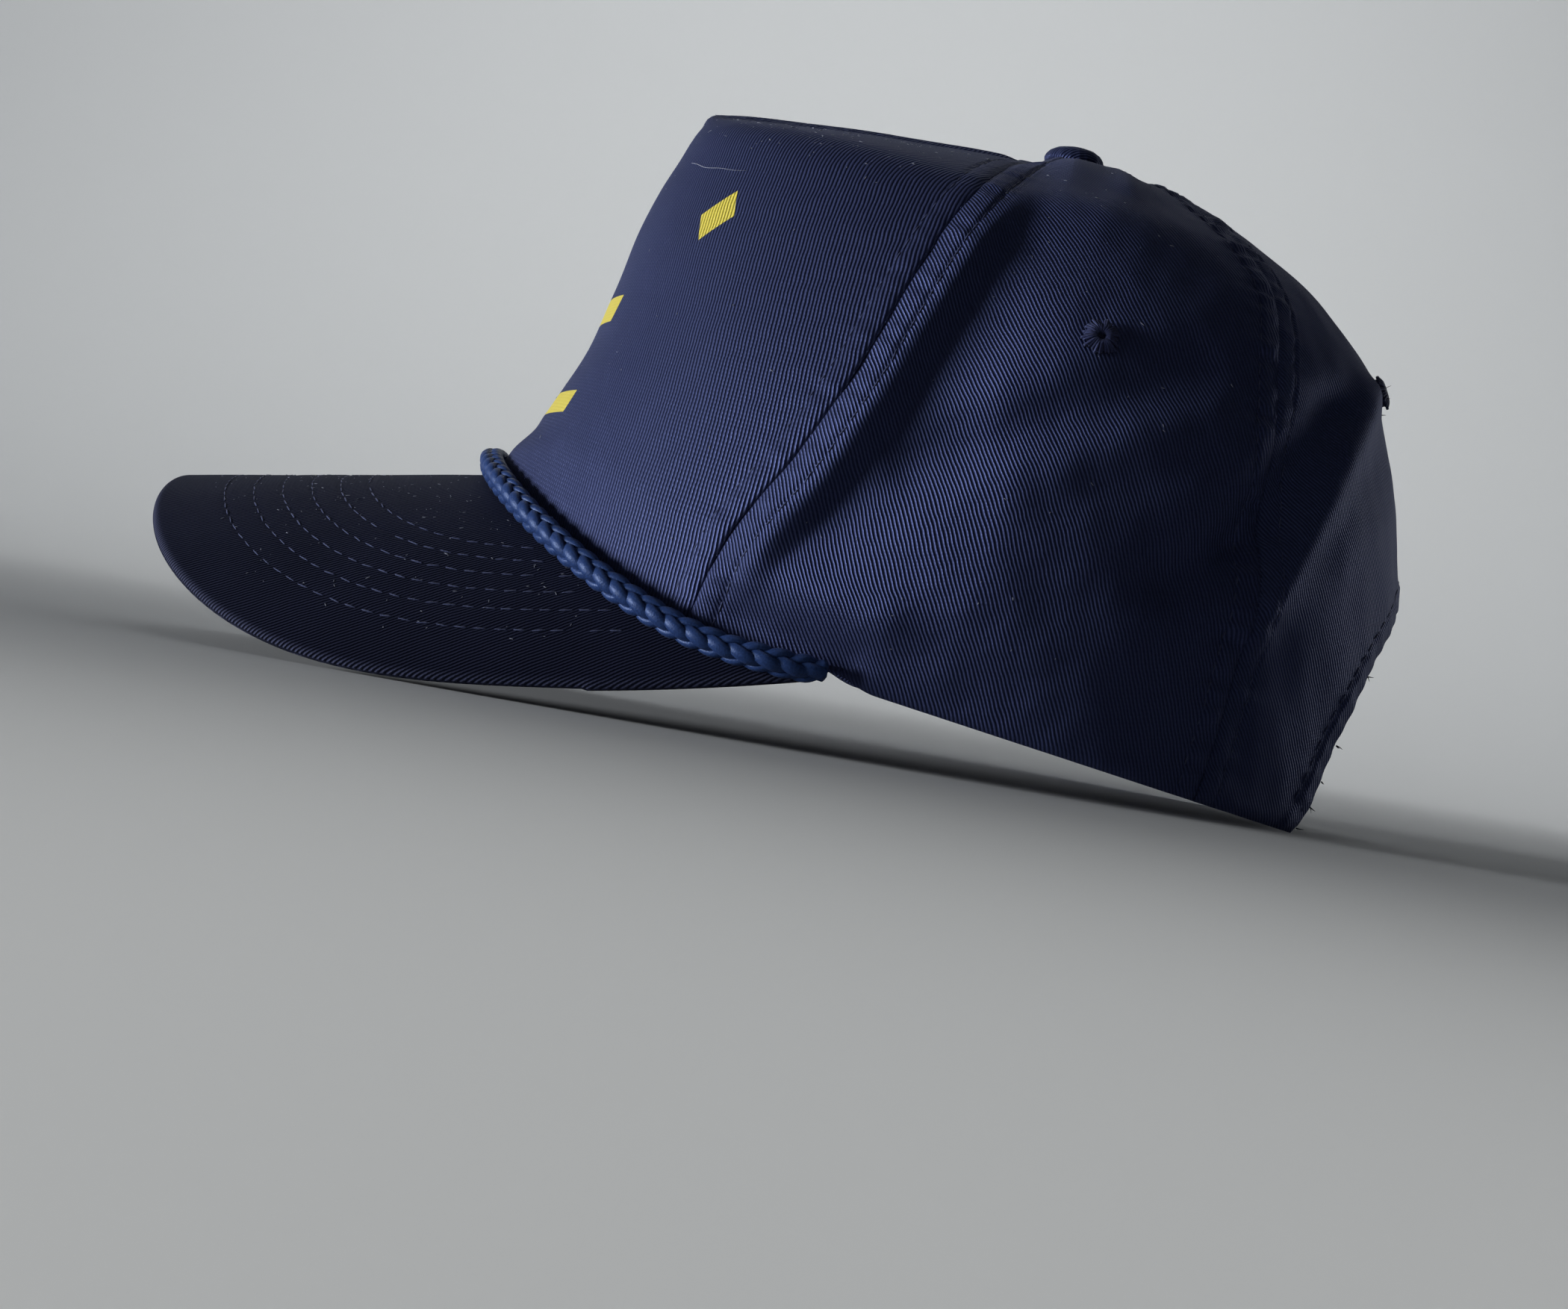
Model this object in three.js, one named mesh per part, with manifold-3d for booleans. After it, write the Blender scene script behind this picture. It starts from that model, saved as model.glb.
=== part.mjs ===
// Snapback cap: a five-panel rope cap in cotton twill, lying on a flat surface.
// Millimetres, +Z up, the peak towards -Y, the wearer's left at +X.
// The cap rests on the two side edges of its curved peak and on the two rear corners of its rim.
import * as THREE from 'three';
import { mergeVertices } from 'three/addons/utils/BufferGeometryUtils.js';
import Module from 'manifold-3d';

const wasm = await Module();
wasm.setup();

// ---------------------------------------------------------------- driving sizes

const CLOTH = 1.6; // panel wall: twill and its backing
const GAP = 0.3; // between neighbouring pieces
const HOLE_Y = 50.5; // the hole where all the panels meet, under the button

// The crown is a stack of ovals, each of them climbing from the side to the front and the back.
// frontY, frontZ: its foremost point on the centre line; rearY, rearZ: its rearmost point
// halfWidth, sideZ: its widest point, which lies at midY
// squareFront, squareRear: 2 is an ellipse, more is squarer
// frontSeam, rearSeam: where the two seams of a side cross it, in degrees round from the front
const LEVEL_COLUMNS = ['frontY', 'frontZ', 'halfWidth', 'sideZ', 'rearY', 'rearZ', 'midY',
  'squareFront', 'squareRear', 'frontSeam', 'rearSeam'];
const LEVELS = {
  rim: [-60.3, 49.4, 79.3, 9, 131.8, -1, 30, 2.3, 2.1, 58.8, 133.4],
  low: [-54.6, 59, 79, 32, 135.3, 26, 31, 2.3, 2.05, 61.7, 135.2],
  mid: [-49.4, 72, 77.5, 53, 136.3, 52, 33, 2.25, 2, 67.2, 136.6],
  high: [-44.4, 87.9, 74, 72, 130.6, 77.4, 36, 2.18, 2, 70.3, 136.2],
  upper: [-40.5, 103.7, 67.5, 90, 123.2, 97, 39, 2.12, 2, 71.5, 137.4],
  shoulder: [-35.6, 117.5, 60, 105, 111, 110, 42, 2.12, 2, 72.2, 140.4],
  cornerLow: [-31.6, 127.6, 50.5, 116.5, 97.2, 119.8, 45, 2.15, 2, 72.3, 142],
  cornerHigh: [-26, 131.1, 38, 123.4, 84.8, 127.6, 47.5, 2.1, 1.9, 69.3, 146],
  top: [-6, 132.8, 24.5, 128.5, 74, 130.8, 49, 2, 1.9, 64.8, 151],
  inner: [24, 133.3, 11.5, 131.5, 62, 132.4, 50.3, 1.9, 1.9, 57, 153],
  hole: [HOLE_Y - 1.8, 132.7, 1.8, 132.7, HOLE_Y + 1.8, 132.7, HOLE_Y, 2, 2, 55, 154],
};

// The crown's top is a roof: it falls to both sides of the dart that runs from corner to button.
const ROOF = { slope: 0.14, reach: 20, startLevel: 5, fullLevel: 7.5, backShare: 0.6 };
const DART = { rise: 0.9, width: 3.2, startY: -32, endY: 40, ease: 6 };

// Folds of the soft side and back panels, each along a line seen from the side.
// fromY, fromZ, toY, toZ: the line; width: half its breadth; rise: outwards, or inwards if negative
// far: how much of the rise the same fold has on the wearer's right
const FOLD_COLUMNS = ['fromY', 'fromZ', 'toY', 'toZ', 'width', 'rise', 'far'];
const FOLDS = {
  hollowBehindSeam: [4, 38, 22, 76, 8, -4.2, 0.8],
  upperHollow: [24, 78, 34, 104, 9, -1.8, 1],
  longTrough: [24, 56, 74, 88, 4.2, -2, 0.7],
  ridgeAboveTrough: [34, 70, 84, 102, 5.5, 1.2, 0.8],
  ridgeBelowTrough: [34, 52, 80, 79, 4.6, 1.4, 0.8],
  innerTrough: [46, 52, 78, 69, 4, -1, 0.5],
  secondRidge: [46, 42, 86, 72, 5, 1.2, 0.6],
  hollowBySeam: [78, 45, 97, 58, 6, -2.6, 0.8],
  lowerFrontRidge: [-2, 32, 24, 26, 5.5, 1.8, 0.7],
  troughAboveRope: [-8, 23, 18, 17, 4, -1.6, 0.8],
  sideBulge: [40, 30, 66, 24, 14, 1.4, 1],
  backRidge: [119, 93, 98, 38, 4.2, 2.4, 0.7],
  backHollow: [109, 86, 92, 54, 5.5, -3, 0.7],
  puffByButton: [48, 131, 58, 130, 5.5, 2.2, 0.9],
  ridgeBehindButton: [62, 126, 72, 129, 3.5, 1.2, 0.6],
};

// Folds start a little behind the front seam (radians) and fade out near the centre line (mm).
const FOLD_EDGES = { behindSeam: 0.12, fadeFrom: 4, fadeTo: 12 };

// The side run of the rim, behind the peak: its height at frontY and how it falls to the rear.
const RIM = { frontY: 18.6, height: 13, fall: 0.1445, blendFrom: 13, blendLength: 12 };

// The opening at the back, a half ellipse whose feet spread a little.
const ARCH = { halfWidth: 41.5, height: 51.4, footSpread: 3.6, footHeight: 4, cutY: 165, cutLength: 90 };

// The peak is one curved board. crestY and crestZ are a point on its crest line.
const PEAK = {
  halfWidth: 79.9, length: 100, rootY: -30, square: 3.5, taper: 0.02, taperY: -20, sideDrop: 1,
  sideLength: 40, bend: 92, crestY: -67.1, crestZ: 44.1, slope: 0.1763, thickness: 2.8,
  edgeRound: 1, inset: 3.2, hubY: 30, nearest: 70, farthest: 175, endAngle: 76.5,
};

const SWEATBAND = { thickness: 1.2, height: 28, lift: 0.6, ease: 0.3, lean: 2.1, endAngle: 139 };
const ROPE = { diameter: 5.4, out: 1.3, tuckFrom: 60, tuckTo: 85, endAngle: 79, sides: 10, steps: 60 };
const BUTTON = { radius: 6.6, baseZ: 134.2, height: 4.2, edge: 0.7, shankRadius: 1.3, shankBottomZ: 129 };
const EYELET = { radius: 3.4, hole: 0.9, proud: 0.35, lip: 0.4, sides: 16 };
const EYELETS = {
  eyelet_side_left: [105.1, 3.92],
  eyelet_side_right: [-105.1, 3.92],
  eyelet_back_left: [168.5, 3.85],
  eyelet_back_right: [-168.5, 3.85],
};
const STRAP = {
  rootAngle: 143, footAngle: 151, bottomZ: 2.2, height: 18.5, layer: 1.2, easeIn: 1.2, midY: 121.6,
  topLean: 3, lap: 28, studs: 6, studPitch: 9.2, studRadius: 2.1, studProud: 0.7, studSides: 14,
};

// ---------------------------------------------------------------- materials

const navyTwill = { color: 0x1a2036, roughness: 0.85, metalness: 0 };
const ropeBlue = { color: 0x1f3a66, roughness: 0.4, metalness: 0 };
const bandCotton = { color: 0x141828, roughness: 0.9, metalness: 0 };
const eyeletThread = { color: 0x2c3550, roughness: 0.7, metalness: 0 };
const strapPlastic = { color: 0x10131d, roughness: 0.35, metalness: 0 };

// ---------------------------------------------------------------- the crown's surface

const rad = THREE.MathUtils.degToRad;
const rows = Object.values(LEVELS);
const folds = Object.values(FOLDS).map(
  (row) => Object.fromEntries(FOLD_COLUMNS.map((name, i) => [name, row[i]])),
);
const lastLevel = rows.length - 1;

function spline(values, at) {
  const s = THREE.MathUtils.clamp(at, 0, values.length - 1);
  const i = Math.min(Math.floor(s), values.length - 2);
  const f = s - i;
  const p1 = values[i];
  const p2 = values[i + 1];
  const p0 = i > 0 ? values[i - 1] : 2 * p1 - p2;
  const p3 = i + 2 < values.length ? values[i + 2] : 2 * p2 - p1;
  const quadratic = 2 * p0 - 5 * p1 + 4 * p2 - p3;
  const cubic = -p0 + 3 * p1 - 3 * p2 + p3;
  return 0.5 * (2 * p1 + (p2 - p0) * f + quadratic * f * f + cubic * f * f * f);
}

function levelValue(column, level) {
  const index = LEVEL_COLUMNS.indexOf(column);
  return spline(rows.map((row) => row[index]), level);
}

function smooth(from, to, value) {
  return THREE.MathUtils.smoothstep(value, from, to);
}

// Height of the peak's upper face, and of its curve continued under the crown.
function peakTop(x, y) {
  const across = Math.min(Math.abs(x), PEAK.bend - 1);
  const crest = PEAK.crestZ + (y - PEAK.crestY) * PEAK.slope;
  return crest - (PEAK.bend - Math.sqrt(PEAK.bend ** 2 - across ** 2));
}

function rimHeight(x, y) {
  const side = RIM.height - (y - RIM.frontY) * RIM.fall;
  const behindPeak = smooth(RIM.blendFrom, RIM.blendFrom + RIM.blendLength, y);
  return THREE.MathUtils.lerp(peakTop(x, y) + GAP, side, behindPeak);
}

// Plan position of a level at an angle from the front, positive towards the wearer's left.
function ovalPoint(angle, level) {
  const cos = Math.cos(angle);
  const sin = Math.sin(angle);
  const midY = levelValue('midY', level);
  const reach = cos > 0 ? midY - levelValue('frontY', level) : levelValue('rearY', level) - midY;
  const square = levelValue(cos > 0 ? 'squareFront' : 'squareRear', level);
  const width = levelValue('halfWidth', level);
  const radius = ((Math.abs(sin) / width) ** square + (Math.abs(cos) / reach) ** square) ** (-1 / square);
  return new THREE.Vector2(radius * sin, midY - radius * cos);
}

function levelHeight(angle, level) {
  const cos = Math.cos(angle);
  const sideZ = levelValue('sideZ', level);
  const endZ = levelValue(cos > 0 ? 'frontZ' : 'rearZ', level);
  return sideZ + (endZ - sideZ) * cos * cos;
}

function smoothCrown(angle, level) {
  const plan = ovalPoint(angle, level);
  let z = levelHeight(angle, level);
  if (level < 1) {
    const rim = ovalPoint(angle, 0);
    z += (rimHeight(rim.x, rim.y) - levelHeight(angle, 0)) * (1 - level);
  }
  const across = Math.abs(plan.x);
  const end = Math.cos(angle);
  const fall = ROOF.slope * (end > 0 ? end : -ROOF.backShare * end);
  z -= fall * smooth(ROOF.startLevel, ROOF.fullLevel, level) * Math.min(across, ROOF.reach);
  if (end > 0 && level > ROOF.startLevel) {
    const start = smooth(DART.startY, DART.startY + DART.ease, plan.y);
    const finish = 1 - smooth(DART.endY - DART.ease, DART.endY, plan.y);
    z += DART.rise * start * finish * Math.exp(-((across / DART.width) ** 2));
  }
  return new THREE.Vector3(plan.x, plan.y, z);
}

function foldRise(point) {
  let rise = 0;
  const side = new THREE.Vector2(point.y, point.z);
  for (const fold of folds) {
    const from = new THREE.Vector2(fold.fromY, fold.fromZ);
    const run = new THREE.Vector2(fold.toY, fold.toZ).sub(from);
    const along = side.clone().sub(from).dot(run) / run.lengthSq();
    const nearest = from.addScaledVector(run, THREE.MathUtils.clamp(along, 0, 1));
    const share = point.x > 0 ? 1 : fold.far;
    rise += fold.rise * share * Math.exp(-((side.distanceTo(nearest) / fold.width) ** 2));
  }
  return rise * smooth(FOLD_EDGES.fadeFrom, FOLD_EDGES.fadeTo, Math.abs(point.x));
}

// A point of the crown, so far below its outer face. The front panel is stiff and takes no folds.
function crownPoint(angle, level, depth = 0) {
  const step = 0.004;
  const here = smoothCrown(angle, level);
  const around = smoothCrown(angle + step, level).sub(smoothCrown(angle - step, level));
  const upper = Math.min(level + step * 5, lastLevel);
  const lower = Math.max(level - step * 5, 0);
  const upwards = smoothCrown(angle, upper).sub(smoothCrown(angle, lower));
  const normal = around.cross(upwards).normalize();
  const seam = rad(levelValue('frontSeam', level));
  const soft = smooth(0, FOLD_EDGES.behindSeam, Math.abs(angle) - seam);
  const point = here.addScaledVector(normal, foldRise(here) * soft - depth);
  if (level === 0) {
    point.z = Math.max(point.z, rimHeight(point.x, point.y));
  }
  return point;
}

function seamAngle(column, level) {
  return rad(levelValue(column, level));
}

// A little over half a gap, as an angle at this place of the crown.
function halfGap(angle, level) {
  const plan = ovalPoint(angle, level);
  return (GAP * 0.55) / Math.hypot(plan.x, plan.y - levelValue('midY', level));
}

// ---------------------------------------------------------------- helpers for solids

function signedVolume(geometry) {
  const p = geometry.attributes.position;
  const index = geometry.index.array;
  const [a, b, c] = [new THREE.Vector3(), new THREE.Vector3(), new THREE.Vector3()];
  let volume = 0;
  for (let i = 0; i < index.length; i += 3) {
    a.fromBufferAttribute(p, index[i]);
    b.fromBufferAttribute(p, index[i + 1]);
    c.fromBufferAttribute(p, index[i + 2]);
    volume += a.dot(b.cross(c)) / 6;
  }
  return volume;
}

function facingOut(geometry) {
  if (signedVolume(geometry) < 0) {
    geometry.index.array.reverse();
  }
  geometry.computeVertexNormals();
  return geometry;
}

function closed(geometry) {
  geometry.deleteAttribute('normal');
  geometry.deleteAttribute('uv');
  return mergeVertices(geometry, 1e-4);
}

// A box of so many columns, rows and layers, bent by place(s, t, d), all from 0 to 1.
function bentBox(columns, rowCount, layers, place) {
  const geometry = closed(new THREE.BoxGeometry(1, 1, 1, columns, rowCount, layers));
  const p = geometry.attributes.position;
  for (let i = 0; i < p.count; i += 1) {
    const moved = place(p.getX(i) + 0.5, p.getY(i) + 0.5, 0.5 - p.getZ(i));
    p.setXYZ(i, moved.x, moved.y, moved.z);
  }
  return facingOut(geometry);
}

function toSolid(geometry) {
  const whole = closed(geometry.clone());
  return new wasm.Manifold(new wasm.Mesh({
    numProp: 3,
    vertProperties: new Float32Array(whole.attributes.position.array),
    triVerts: new Uint32Array(whole.index.array),
  }));
}

function toGeometry(solid) {
  const mesh = solid.getMesh();
  const geometry = new THREE.BufferGeometry();
  geometry.setAttribute('position', new THREE.BufferAttribute(mesh.vertProperties, 3));
  geometry.setIndex(new THREE.BufferAttribute(mesh.triVerts, 1));
  geometry.computeVertexNormals();
  return geometry;
}

const cap = new THREE.Group();

function addPiece(name, geometry, finish) {
  const mesh = new THREE.Mesh(geometry, new THREE.MeshStandardMaterial(finish));
  mesh.name = name;
  cap.add(mesh);
}

// ---------------------------------------------------------------- crown panels

// Levels of the rows of facets: closer together round the sharp front corner.
const ROW_LEVELS = [0, 0.5, 1, 1.5, 2, 2.6, 3.2, 3.8, 4.4, 5, 5.6, 6, 6.5, 7, 8, 9, 10];

function panel(columns, fromAngle, toAngle) {
  const rowCount = ROW_LEVELS.length - 1;
  return bentBox(columns, rowCount, 1, (s, t, d) => {
    const level = ROW_LEVELS[Math.round(t * rowCount)];
    const from = fromAngle(level);
    const to = toAngle(level);
    const start = from + halfGap(from, level);
    const end = to - halfGap(to, level);
    const angle = THREE.MathUtils.lerp(start, end, s);
    return crownPoint(angle, level, d * CLOTH);
  });
}

function eyeletPose(angleDegrees, level) {
  const angle = rad(angleDegrees);
  const centre = crownPoint(angle, level, CLOTH / 2);
  const outwards = crownPoint(angle, level, 0).sub(centre).normalize();
  const turn = new THREE.Quaternion().setFromUnitVectors(new THREE.Vector3(0, 1, 0), outwards);
  return new THREE.Matrix4().compose(centre, turn, new THREE.Vector3(1, 1, 1));
}

function eyeletHole(pose) {
  const radius = EYELET.radius + GAP;
  const drill = new THREE.CylinderGeometry(radius, radius, 4 * EYELET.radius, EYELET.sides);
  return toSolid(drill.applyMatrix4(pose));
}

function archCutter() {
  const outline = new THREE.Shape();
  const steps = 18;
  const halfWidthAt = (z) => ARCH.halfWidth * Math.sqrt(Math.max(0, 1 - (z / ARCH.height) ** 2))
    + ARCH.footSpread * Math.exp(-Math.max(z, 0) / ARCH.footHeight);
  const side = [];
  for (let i = 0; i <= steps; i += 1) {
    const z = ARCH.height * Math.sin((i / steps) * Math.PI / 2);
    side.push([i < steps ? halfWidthAt(z) : 0, z]);
  }
  const foot = halfWidthAt(0);
  outline.moveTo(-foot, -foot);
  outline.lineTo(foot, -foot);
  side.forEach(([x, z]) => outline.lineTo(x, z));
  side.slice(0, -1).reverse().forEach(([x, z]) => outline.lineTo(-x, z));
  const cutter = new THREE.ExtrudeGeometry(outline, { depth: ARCH.cutLength, bevelEnabled: false });
  return toSolid(cutter.rotateX(Math.PI / 2).translate(0, ARCH.cutY, 0));
}

function makePanels() {
  const frontSeam = (level) => seamAngle('frontSeam', level);
  const rearSeam = (level) => seamAngle('rearSeam', level);
  const centreBack = () => Math.PI;
  const arch = archCutter();
  const poses = Object.fromEntries(
    Object.entries(EYELETS).map(([name, [angle, level]]) => [name, eyeletPose(angle, level)]),
  );
  const drilled = (geometry, name) => toSolid(geometry).subtract(eyeletHole(poses[name]));
  const mirrored = (edge) => (level) => -edge(level);

  addPiece('front_panel', panel(22, mirrored(frontSeam), frontSeam), navyTwill);
  const sideLeft = drilled(panel(13, frontSeam, rearSeam), 'eyelet_side_left');
  addPiece('side_panel_left', toGeometry(sideLeft), navyTwill);
  const sideRight = drilled(panel(13, mirrored(rearSeam), mirrored(frontSeam)), 'eyelet_side_right');
  addPiece('side_panel_right', toGeometry(sideRight), navyTwill);
  const backLeft = drilled(panel(10, rearSeam, centreBack), 'eyelet_back_left');
  addPiece('back_panel_left', toGeometry(backLeft.subtract(arch)), navyTwill);
  const backRight = drilled(panel(10, mirrored(centreBack), mirrored(rearSeam)), 'eyelet_back_right');
  addPiece('back_panel_right', toGeometry(backRight.subtract(arch)), navyTwill);

  for (const [name, pose] of Object.entries(poses)) {
    const half = CLOTH / 2 + EYELET.proud;
    const low = half - EYELET.lip;
    const crest = EYELET.radius - EYELET.lip;
    const outside = [[EYELET.radius, low], [crest, half], [EYELET.hole, low]];
    const inside = outside.map(([r, z]) => [r, -z]).reverse();
    const points = [...inside, ...outside, inside[0]].map(([r, z]) => new THREE.Vector2(r, z));
    const ring = closed(new THREE.LatheGeometry(points, EYELET.sides));
    addPiece(name, facingOut(ring.applyMatrix4(pose)), eyeletThread);
  }
}

// ---------------------------------------------------------------- peak

function peakHalfWidth(y) {
  if (y > PEAK.rootY) {
    return PEAK.halfWidth - PEAK.sideDrop * ((y - PEAK.rootY) / PEAK.sideLength) ** 2;
  }
  const forward = Math.min((PEAK.rootY - y) / PEAK.length, 1);
  const widest = PEAK.halfWidth + PEAK.taper * (Math.min(y, PEAK.taperY) - PEAK.taperY);
  return widest * (1 - forward ** PEAK.square) ** (1 / PEAK.square);
}

// Distance from the hub, inside the crown, to the peak's outline in one direction.
function peakReach(angle) {
  let near = PEAK.nearest;
  let far = PEAK.farthest;
  for (let i = 0; i < 40; i += 1) {
    const middle = (near + far) / 2;
    const y = PEAK.hubY - middle * Math.cos(angle);
    const inside = y > PEAK.rootY - PEAK.length && Math.abs(middle * Math.sin(angle)) < peakHalfWidth(y);
    if (inside) {
      near = middle;
    } else {
      far = middle;
    }
  }
  return near;
}

function makePeak() {
  const end = rad(PEAK.endAngle);
  addPiece('peak', bentBox(36, 9, 2, (s, t, d) => {
    const angle = THREE.MathUtils.lerp(-end, end, s);
    const inner = ovalPoint(angle, 0);
    const start = Math.hypot(inner.x, inner.y - PEAK.hubY) - PEAK.inset;
    const rounded = t > 0.999 && d === 0.5 ? PEAK.edgeRound : 0;
    const radius = THREE.MathUtils.lerp(start, peakReach(angle) - PEAK.edgeRound, t) + rounded;
    const x = radius * Math.sin(angle);
    const y = PEAK.hubY - radius * Math.cos(angle);
    const bend = Math.asin(x / PEAK.bend);
    const axisZ = peakTop(0, y) - PEAK.bend;
    const shell = PEAK.bend - d * PEAK.thickness;
    return new THREE.Vector3(shell * Math.sin(bend), y, axisZ + shell * Math.cos(bend));
  }), navyTwill);
}

// ---------------------------------------------------------------- rope, button, sweatband, strap

// The rope lies on the peak's upper face, along the crown and a little out from it.
function ropeCentre(angle) {
  const radius = ROPE.diameter / 2 + GAP;
  const rim = crownPoint(angle, 0);
  const wall = crownPoint(angle, 0, -1).sub(rim).normalize();
  const bend = Math.asin(THREE.MathUtils.clamp(rim.x / PEAK.bend, -1, 1));
  const board = new THREE.Vector3(Math.sin(bend), -PEAK.slope * Math.cos(bend), Math.cos(bend)).normalize();
  const reach = radius / (1 + wall.dot(board));
  const away = wall.clone().addScaledVector(board, -wall.dot(board)).normalize();
  const out = ROPE.out * (1 - smooth(rad(ROPE.tuckFrom), rad(ROPE.tuckTo), Math.abs(angle)));
  return rim.addScaledVector(wall, reach).addScaledVector(board, reach).addScaledVector(away, out);
}

function makeRope() {
  const end = rad(ROPE.endAngle);
  const points = [];
  for (let i = 0; i <= 24; i += 1) {
    points.push(ropeCentre(THREE.MathUtils.lerp(-end, end, i / 24)));
  }
  const section = new THREE.Shape();
  section.absarc(0, 0, ROPE.diameter / 2, 0, Math.PI * 2);
  const path = new THREE.CatmullRomCurve3(points);
  const rope = new THREE.ExtrudeGeometry(section, {
    curveSegments: ROPE.sides, steps: ROPE.steps, extrudePath: path, bevelEnabled: false,
  });
  addPiece('rope', facingOut(closed(rope)), ropeBlue);
}

function makeButton() {
  const { radius, baseZ, height, edge, shankRadius, shankBottomZ } = BUTTON;
  const points = [new THREE.Vector2(0, shankBottomZ), new THREE.Vector2(shankRadius, shankBottomZ),
    new THREE.Vector2(shankRadius, baseZ + edge / 2), new THREE.Vector2(radius - edge, baseZ)];
  const steps = 8;
  for (let i = 0; i <= steps; i += 1) {
    const turn = (i / steps) * Math.PI / 2;
    const across = i < steps ? radius * Math.cos(turn) : 0;
    points.push(new THREE.Vector2(across, baseZ + edge + (height - edge) * Math.sin(turn)));
  }
  const dome = closed(new THREE.LatheGeometry(points, 24).rotateX(Math.PI / 2).translate(0, HOLE_Y, 0));
  addPiece('top_button', facingOut(dome), navyTwill);
}

// The level that lies so far above the rim at this angle.
function levelAbove(angle, height) {
  const start = crownPoint(angle, 0).z;
  let low = 0;
  let high = 4;
  for (let i = 0; i < 24; i += 1) {
    const middle = (low + high) / 2;
    if (crownPoint(angle, middle).z - start < height) {
      low = middle;
    } else {
      high = middle;
    }
  }
  return low;
}

function makeSweatband() {
  const end = rad(SWEATBAND.endAngle);
  addPiece('sweatband', bentBox(72, 3, 1, (s, t, d) => {
    const angle = THREE.MathUtils.lerp(-end, end, s);
    const level = levelAbove(angle, SWEATBAND.lift + t * SWEATBAND.height);
    const depth = CLOTH + GAP + SWEATBAND.ease + t * SWEATBAND.lean + d * SWEATBAND.thickness;
    const point = crownPoint(angle, level, depth);
    const floor = point.y < RIM.blendFrom + RIM.blendLength ? peakTop(point.x, point.y) + GAP : -1;
    point.z = Math.max(point.z, floor);
    return point;
  }), bandCotton);
}

// The strap as it looks closed: one half laps the other, pressed together by a row of studs.
function strapEdge(height) {
  const points = [];
  for (const along of [0, 0.5, 1]) {
    const angle = rad(THREE.MathUtils.lerp(STRAP.rootAngle, STRAP.footAngle, along));
    const depth = CLOTH + GAP + STRAP.layer + STRAP.easeIn * along;
    points.push(crownPoint(angle, levelAbove(angle, height), depth));
  }
  const lean = STRAP.topLean * (height / (STRAP.bottomZ + STRAP.height));
  const middle = new THREE.Vector3(0, STRAP.midY + lean, height);
  const right = points.map((p) => new THREE.Vector3(-p.x, p.y, p.z));
  return new THREE.CatmullRomCurve3([...points, middle, ...right.reverse()], false, 'centripetal');
}

function makeStrap() {
  const bottom = strapEdge(STRAP.bottomZ);
  const top = strapEdge(STRAP.bottomZ + STRAP.height);
  const columns = 56;
  const up = new THREE.Vector3(0, 0, 1);
  const frameAt = (s, t) => {
    const point = bottom.getPoint(s).lerp(top.getPoint(s), t);
    const outwards = bottom.getTangent(s).cross(up).normalize();
    return { point, outwards };
  };
  const band = bentBox(columns, 1, 1, (s, t, d) => {
    const { point, outwards } = frameAt(s, t);
    const outer = point.x > -STRAP.lap ? STRAP.layer : 0;
    const inner = point.x < STRAP.lap ? -STRAP.layer : 0;
    return point.addScaledVector(outwards, THREE.MathUtils.lerp(outer, inner, d));
  });
  let strap = toSolid(band);
  const studs = [];
  for (let i = 0; i < STRAP.studs; i += 1) {
    studs.push((i - (STRAP.studs - 1) / 2) * STRAP.studPitch);
  }
  for (const across of studs) {
    let s = 0.5;
    for (let i = 0; i < 12; i += 1) {
      s += (bottom.getPoint(s).x - across) / bottom.getLength();
    }
    const { point, outwards } = frameAt(s, 0.5);
    const length = 2 * STRAP.layer + STRAP.studProud;
    const stud = new THREE.CylinderGeometry(STRAP.studRadius, STRAP.studRadius, length, STRAP.studSides);
    const turn = new THREE.Quaternion().setFromUnitVectors(new THREE.Vector3(0, 1, 0), outwards);
    point.addScaledVector(outwards, STRAP.studProud / 2);
    stud.applyMatrix4(new THREE.Matrix4().compose(point, turn, new THREE.Vector3(1, 1, 1)));
    strap = strap.add(toSolid(stud));
  }
  addPiece('snap_strap', toGeometry(strap), strapPlastic);
}

makePanels();
makePeak();
makeRope();
makeButton();
makeSweatband();
makeStrap();

// The origin is under the middle of the cap, on the surface that it lies on.
const box = new THREE.Box3().setFromObject(cap);
const middle = box.getCenter(new THREE.Vector3());
cap.position.set(-middle.x, -middle.y, -box.min.z);

export default cap;
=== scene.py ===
# Snapback cap with a rope over its peak: five twill panels, a curved peak, a braided rope, a covered
# button, four stitched eyelets, a sweatband and a snap strap, lying on a pale floor.
import bmesh
import bpy
import math
import numpy as np
from mathutils import Matrix, Vector


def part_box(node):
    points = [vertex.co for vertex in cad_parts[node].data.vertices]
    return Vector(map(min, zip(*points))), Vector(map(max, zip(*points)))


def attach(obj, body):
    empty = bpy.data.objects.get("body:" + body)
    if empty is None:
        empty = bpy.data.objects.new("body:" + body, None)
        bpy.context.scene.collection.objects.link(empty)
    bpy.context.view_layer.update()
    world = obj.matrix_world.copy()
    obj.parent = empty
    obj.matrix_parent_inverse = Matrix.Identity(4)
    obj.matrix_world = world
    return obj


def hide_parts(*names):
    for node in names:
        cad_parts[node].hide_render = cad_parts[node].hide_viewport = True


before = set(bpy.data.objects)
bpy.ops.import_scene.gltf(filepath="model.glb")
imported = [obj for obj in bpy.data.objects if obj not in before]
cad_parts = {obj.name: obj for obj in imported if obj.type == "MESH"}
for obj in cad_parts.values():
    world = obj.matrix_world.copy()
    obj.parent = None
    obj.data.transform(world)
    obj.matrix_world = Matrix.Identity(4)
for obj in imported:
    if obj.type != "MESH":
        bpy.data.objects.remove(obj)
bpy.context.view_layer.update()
mm = 0.001

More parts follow.
